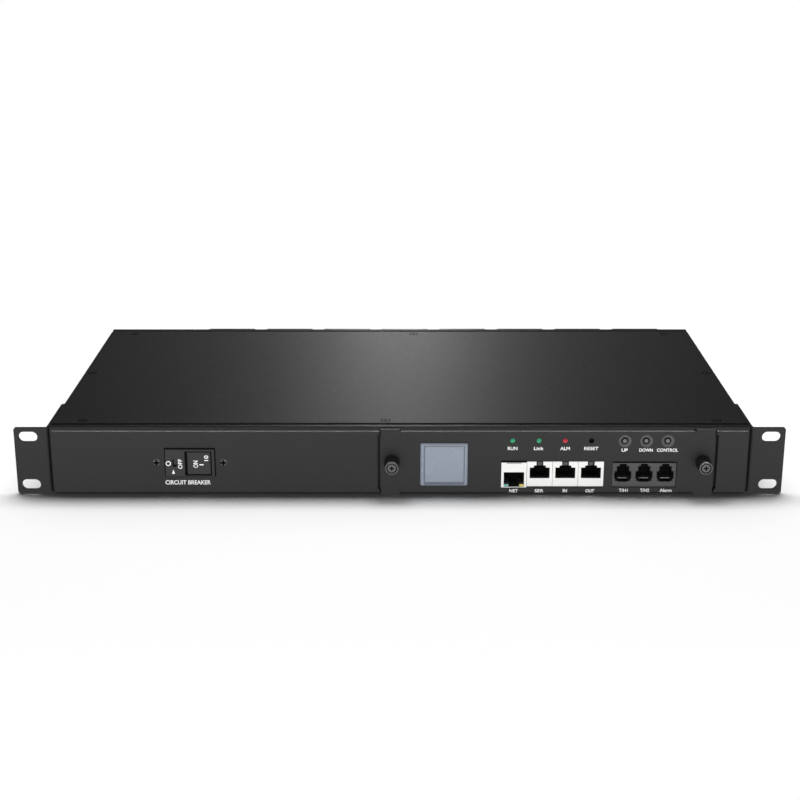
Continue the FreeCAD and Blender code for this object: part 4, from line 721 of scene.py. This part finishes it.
def makeStage():
    stage = {"size": 6.0, "drop": 0.02, "paper": "#fcfcfc", "shadow": (40.0, 240.0), "lip": 2.0,
             "under": 0.1, "close": 0.7, "open": 1.02, "reach": 130.0}
    bm = bmesh.new()
    bmesh.ops.create_grid(bm, x_segments=1, y_segments=1, size=stage["size"] / 2)
    bmesh.ops.translate(bm, verts=bm.verts, vec=(0, 0, cadBox[0].z - stage["drop"] * mm))
    mesh = bpy.data.meshes.new("paper_floor")
    bm.to_mesh(mesh)
    bm.free()
    floor = bpy.data.objects.new("paper_floor", mesh)
    bpy.context.scene.collection.objects.link(floor)
    # matt white paper: it takes the shadow near the object and is plain white further out;
    # gloss sees it with painted shade: grey beside the object, white further out and nearly black under
    # the object
    paper, shader, place = startMaterial("studioPaper", {"Roughness": 0.9, "Specular IOR Level": 0.0})
    shader.inputs["Base Color"].default_value = toLinear(stage["paper"])
    ray = addNode(paper, "LightPath")
    # how far a point lies outside the object's footprint
    tray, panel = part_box("chassis_tray"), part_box("front_panel_left")
    half = Vector((tray[1].x, (tray[1].y - panel[0].y) / 2, 0))
    middle = Vector((0, (tray[1].y + panel[0].y) / 2, 0))
    offset = addNode(paper, "VectorMath", {"operation": "SUBTRACT"}, {1: middle}, {0: place})
    extent = addNode(paper, "VectorMath", {"operation": "ABSOLUTE"}, links={0: offset.outputs["Vector"]})
    beyond = addNode(paper, "VectorMath", {"operation": "SUBTRACT"}, {1: half},
                     {0: extent.outputs["Vector"]})
    sides = addNode(paper, "SeparateXYZ", links={"Vector": beyond.outputs["Vector"]})
    away = addNode(paper, "Math", {"operation": "MAXIMUM"},
                   links={0: sides.outputs["X"], 1: sides.outputs["Y"]}).outputs["Value"]
    far = addNode(paper, "MapRange", {"interpolation_type": "SMOOTHSTEP"},
                  {"From Min": stage["shadow"][0] * mm, "From Max": stage["shadow"][1] * mm},
                  {"Value": away})
    under = addNode(paper, "MapRange", values={"From Min": -stage["lip"] * mm, "From Max": 0.0,
                                               "To Min": stage["under"]}, links={"Value": away})
    rise = addNode(paper, "MapRange", {"interpolation_type": "SMOOTHSTEP"},
                   {"From Max": stage["reach"] * mm, "To Min": stage["close"], "To Max": stage["open"]},
                   {"Value": away})
    glossShade = addNode(paper, "Math", {"operation": "MULTIPLY"},
                    links={0: under.outputs["Result"], 1: rise.outputs["Result"]})
    level = addNode(paper, "Mix", values={"B": 1.0},
                    links={"Factor": ray.outputs["Is Camera Ray"], "A": glossShade.outputs["Value"]})
    white = addNode(paper, "Emission", links={"Strength": level.outputs["Result"]})
    seen = addNode(paper, "Math", {"operation": "MULTIPLY"},
                   links={0: far.outputs["Result"], 1: ray.outputs["Is Camera Ray"]})
    shiny = addNode(paper, "Math", {"operation": "MAXIMUM"},
                    links={0: ray.outputs["Is Glossy Ray"], 1: ray.outputs["Is Transmission Ray"]})
    share = addNode(paper, "Math", {"operation": "MAXIMUM"},
                    links={0: seen.outputs["Value"], 1: shiny.outputs["Value"]})
    both = addNode(paper, "MixShader", links={0: share.outputs["Value"], 1: shader.outputs["BSDF"],
                                              2: white.outputs["Emission"]})
    link(paper, both.outputs["Shader"], paper.node_tree.nodes["Material Output"].inputs["Surface"])
    mesh.materials.append(paper)


def makeWorld():
    sky = {"frontFill": 0.02, "backFill": 0.9, "fillFrom": 0.1, "fillTo": 0.6, "front": 1.18,
           "frontTo": -0.7, "backFrom": -0.2, "studio": 0.005, "glow": 0.48, "inner": 0.0, "outer": 0.23,
           "horizon": 0.15, "top": 0.57, "wall": 0.3, "wallFrom": 0.5, "wallTo": 0.85}
    world = bpy.data.worlds.new("studio")
    bpy.context.scene.world = world
    world.use_nodes = True
    tree = world.node_tree
    ray = addNode(world, "LightPath")
    direction = addNode(world, "TexCoord").outputs["Generated"]
    axes = addNode(world, "SeparateXYZ", links={"Vector": direction})
    side = addNode(world, "Math", {"operation": "ABSOLUTE"}, links={0: axes.outputs["X"]})
    behind = addNode(world, "MapRange", {"interpolation_type": "SMOOTHSTEP"},
                     {"From Min": sky["frontTo"], "From Max": sky["backFrom"]},
                     {"Value": axes.outputs["Y"]})
    rear = addNode(world, "MapRange", {"interpolation_type": "SMOOTHSTEP"},
                   {"From Min": sky["fillFrom"], "From Max": sky["fillTo"]},
                   {"Value": axes.outputs["Y"]})
    # gloss shows a white room in front, grey walls far to the sides, and behind the object a dark
    # backdrop with a lit middle that fades upwards
    band = addNode(world, "MapRange", {"interpolation_type": "SMOOTHSTEP"},
                   {"From Min": sky["inner"], "From Max": sky["outer"], "To Min": sky["glow"],
                    "To Max": sky["studio"]}, {"Value": side.outputs["Value"]})
    high = addNode(world, "MapRange", links={"Value": axes.outputs["Z"]},
                   values={"From Min": sky["horizon"], "From Max": sky["top"],
                           "To Min": 1.0, "To Max": 0.0})
    middle = addNode(world, "Math", {"operation": "MULTIPLY"},
                     links={0: band.outputs["Result"], 1: high.outputs["Result"]})
    wall = addNode(world, "MapRange", {"interpolation_type": "SMOOTHSTEP"},
                   {"From Min": sky["wallFrom"], "From Max": sky["wallTo"], "To Max": sky["wall"]},
                   {"Value": side.outputs["Value"]})
    backdrop = addNode(world, "Math", {"operation": "MAXIMUM"},
                       links={0: middle.outputs["Value"], 1: wall.outputs["Result"]})
    glow = addNode(world, "Mix", values={"A": sky["front"]},
                   links={"Factor": behind.outputs["Result"], "B": backdrop.outputs["Value"]})
    # matt surfaces get soft light, nearly all of it from behind
    fill = addNode(world, "Mix", values={"A": sky["frontFill"], "B": sky["backFill"]},
                   links={"Factor": rear.outputs["Result"]})
    shiny = addNode(world, "Math", {"operation": "MAXIMUM"},
                    links={0: ray.outputs["Is Glossy Ray"], 1: ray.outputs["Is Transmission Ray"]})
    lit = addNode(world, "Mix", links={"Factor": shiny.outputs["Value"], "A": fill.outputs["Result"],
                                       "B": glow.outputs["Result"]})
    seen = addNode(world, "Mix", values={"B": 1.0},  # the camera sees plain white
                   links={"Factor": ray.outputs["Is Camera Ray"], "A": lit.outputs["Result"]})
    background = tree.nodes["Background"]
    background.inputs["Color"].default_value = (1, 1, 1, 1)
    tree.links.new(seen.outputs["Result"], background.inputs["Strength"])


lamps = {
    # soft light from above
    "topSoftbox": {"power": 17.2, "size": (1.4, 0.6), "place": (0.0, 0.39, 1.2), "aim": (0, 0, 0),
                   "gloss": False},
    # light along the upper edges of the front
    "topStrip": {"power": 23.0, "size": (1.8, 0.1), "place": (0.0, 0.62, 1.05), "aim": (0, 0, 0),
                 "gloss": True, "only": ["front_panel_left", "front_panel_right", "module_faceplate",
                                         "thumbscrew_left", "thumbscrew_right", "lcd_lens"]},
    # level fill on the front
    "frontSoftbox": {"power": 20.0, "size": (1.6, 0.04), "place": (0.0, -1.6, 0.0), "aim": (0, 0, 0),
                     "gloss": False},
    # sheen down the middle of the cover
    "backStrip": {"power": 1.04, "size": (0.16, 0.5), "place": (0.0, 1.7, 0.43), "aim": (0, 0.1, 0),
                  "gloss": True},
}


def makeLamps():
    # a lamp without gloss isn't mirrored in the object
    for name, lamp in lamps.items():
        light = bpy.data.lights.new(name, "AREA")
        light.shape = "RECTANGLE"
        light.size, light.size_y = lamp["size"]
        light.energy = lamp["power"]
        holder = bpy.data.objects.new(name, light)
        bpy.context.scene.collection.objects.link(holder)
        holder.visible_glossy = lamp["gloss"]
        if "only" in lamp:  # a lamp that reaches just these nodes
            reach = bpy.data.collections.new(name + "Reach")
            for node in lamp["only"]:
                reach.objects.link(nodes[node])
            holder.light_linking.receiver_collection = reach
        holder.location = lamp["place"]
        beam = Vector(lamp["aim"]) - Vector(lamp["place"])
        holder.rotation_euler = beam.to_track_quat("-Z", "Y").to_euler()


def makeCamera():
    # lens and sensor in mm, place in metres, tilt in degrees below level
    view = {"lens": 69.15, "sensor": 36.0, "place": (0.00024, -0.9082, 0.3366), "tilt": 18.114}
    camera = bpy.data.cameras.new("camera")
    camera.lens = view["lens"]
    camera.sensor_width = view["sensor"]
    holder = bpy.data.objects.new("camera", camera)
    bpy.context.scene.collection.objects.link(holder)
    holder.location = view["place"]
    holder.rotation_euler = (math.radians(90 - view["tilt"]), 0, 0)
    bpy.context.scene.camera = holder


makeStage()
makeWorld()
makeLamps()
makeCamera()
bpy.context.scene.view_settings.view_transform = "Standard"
print("stage, light and camera set")
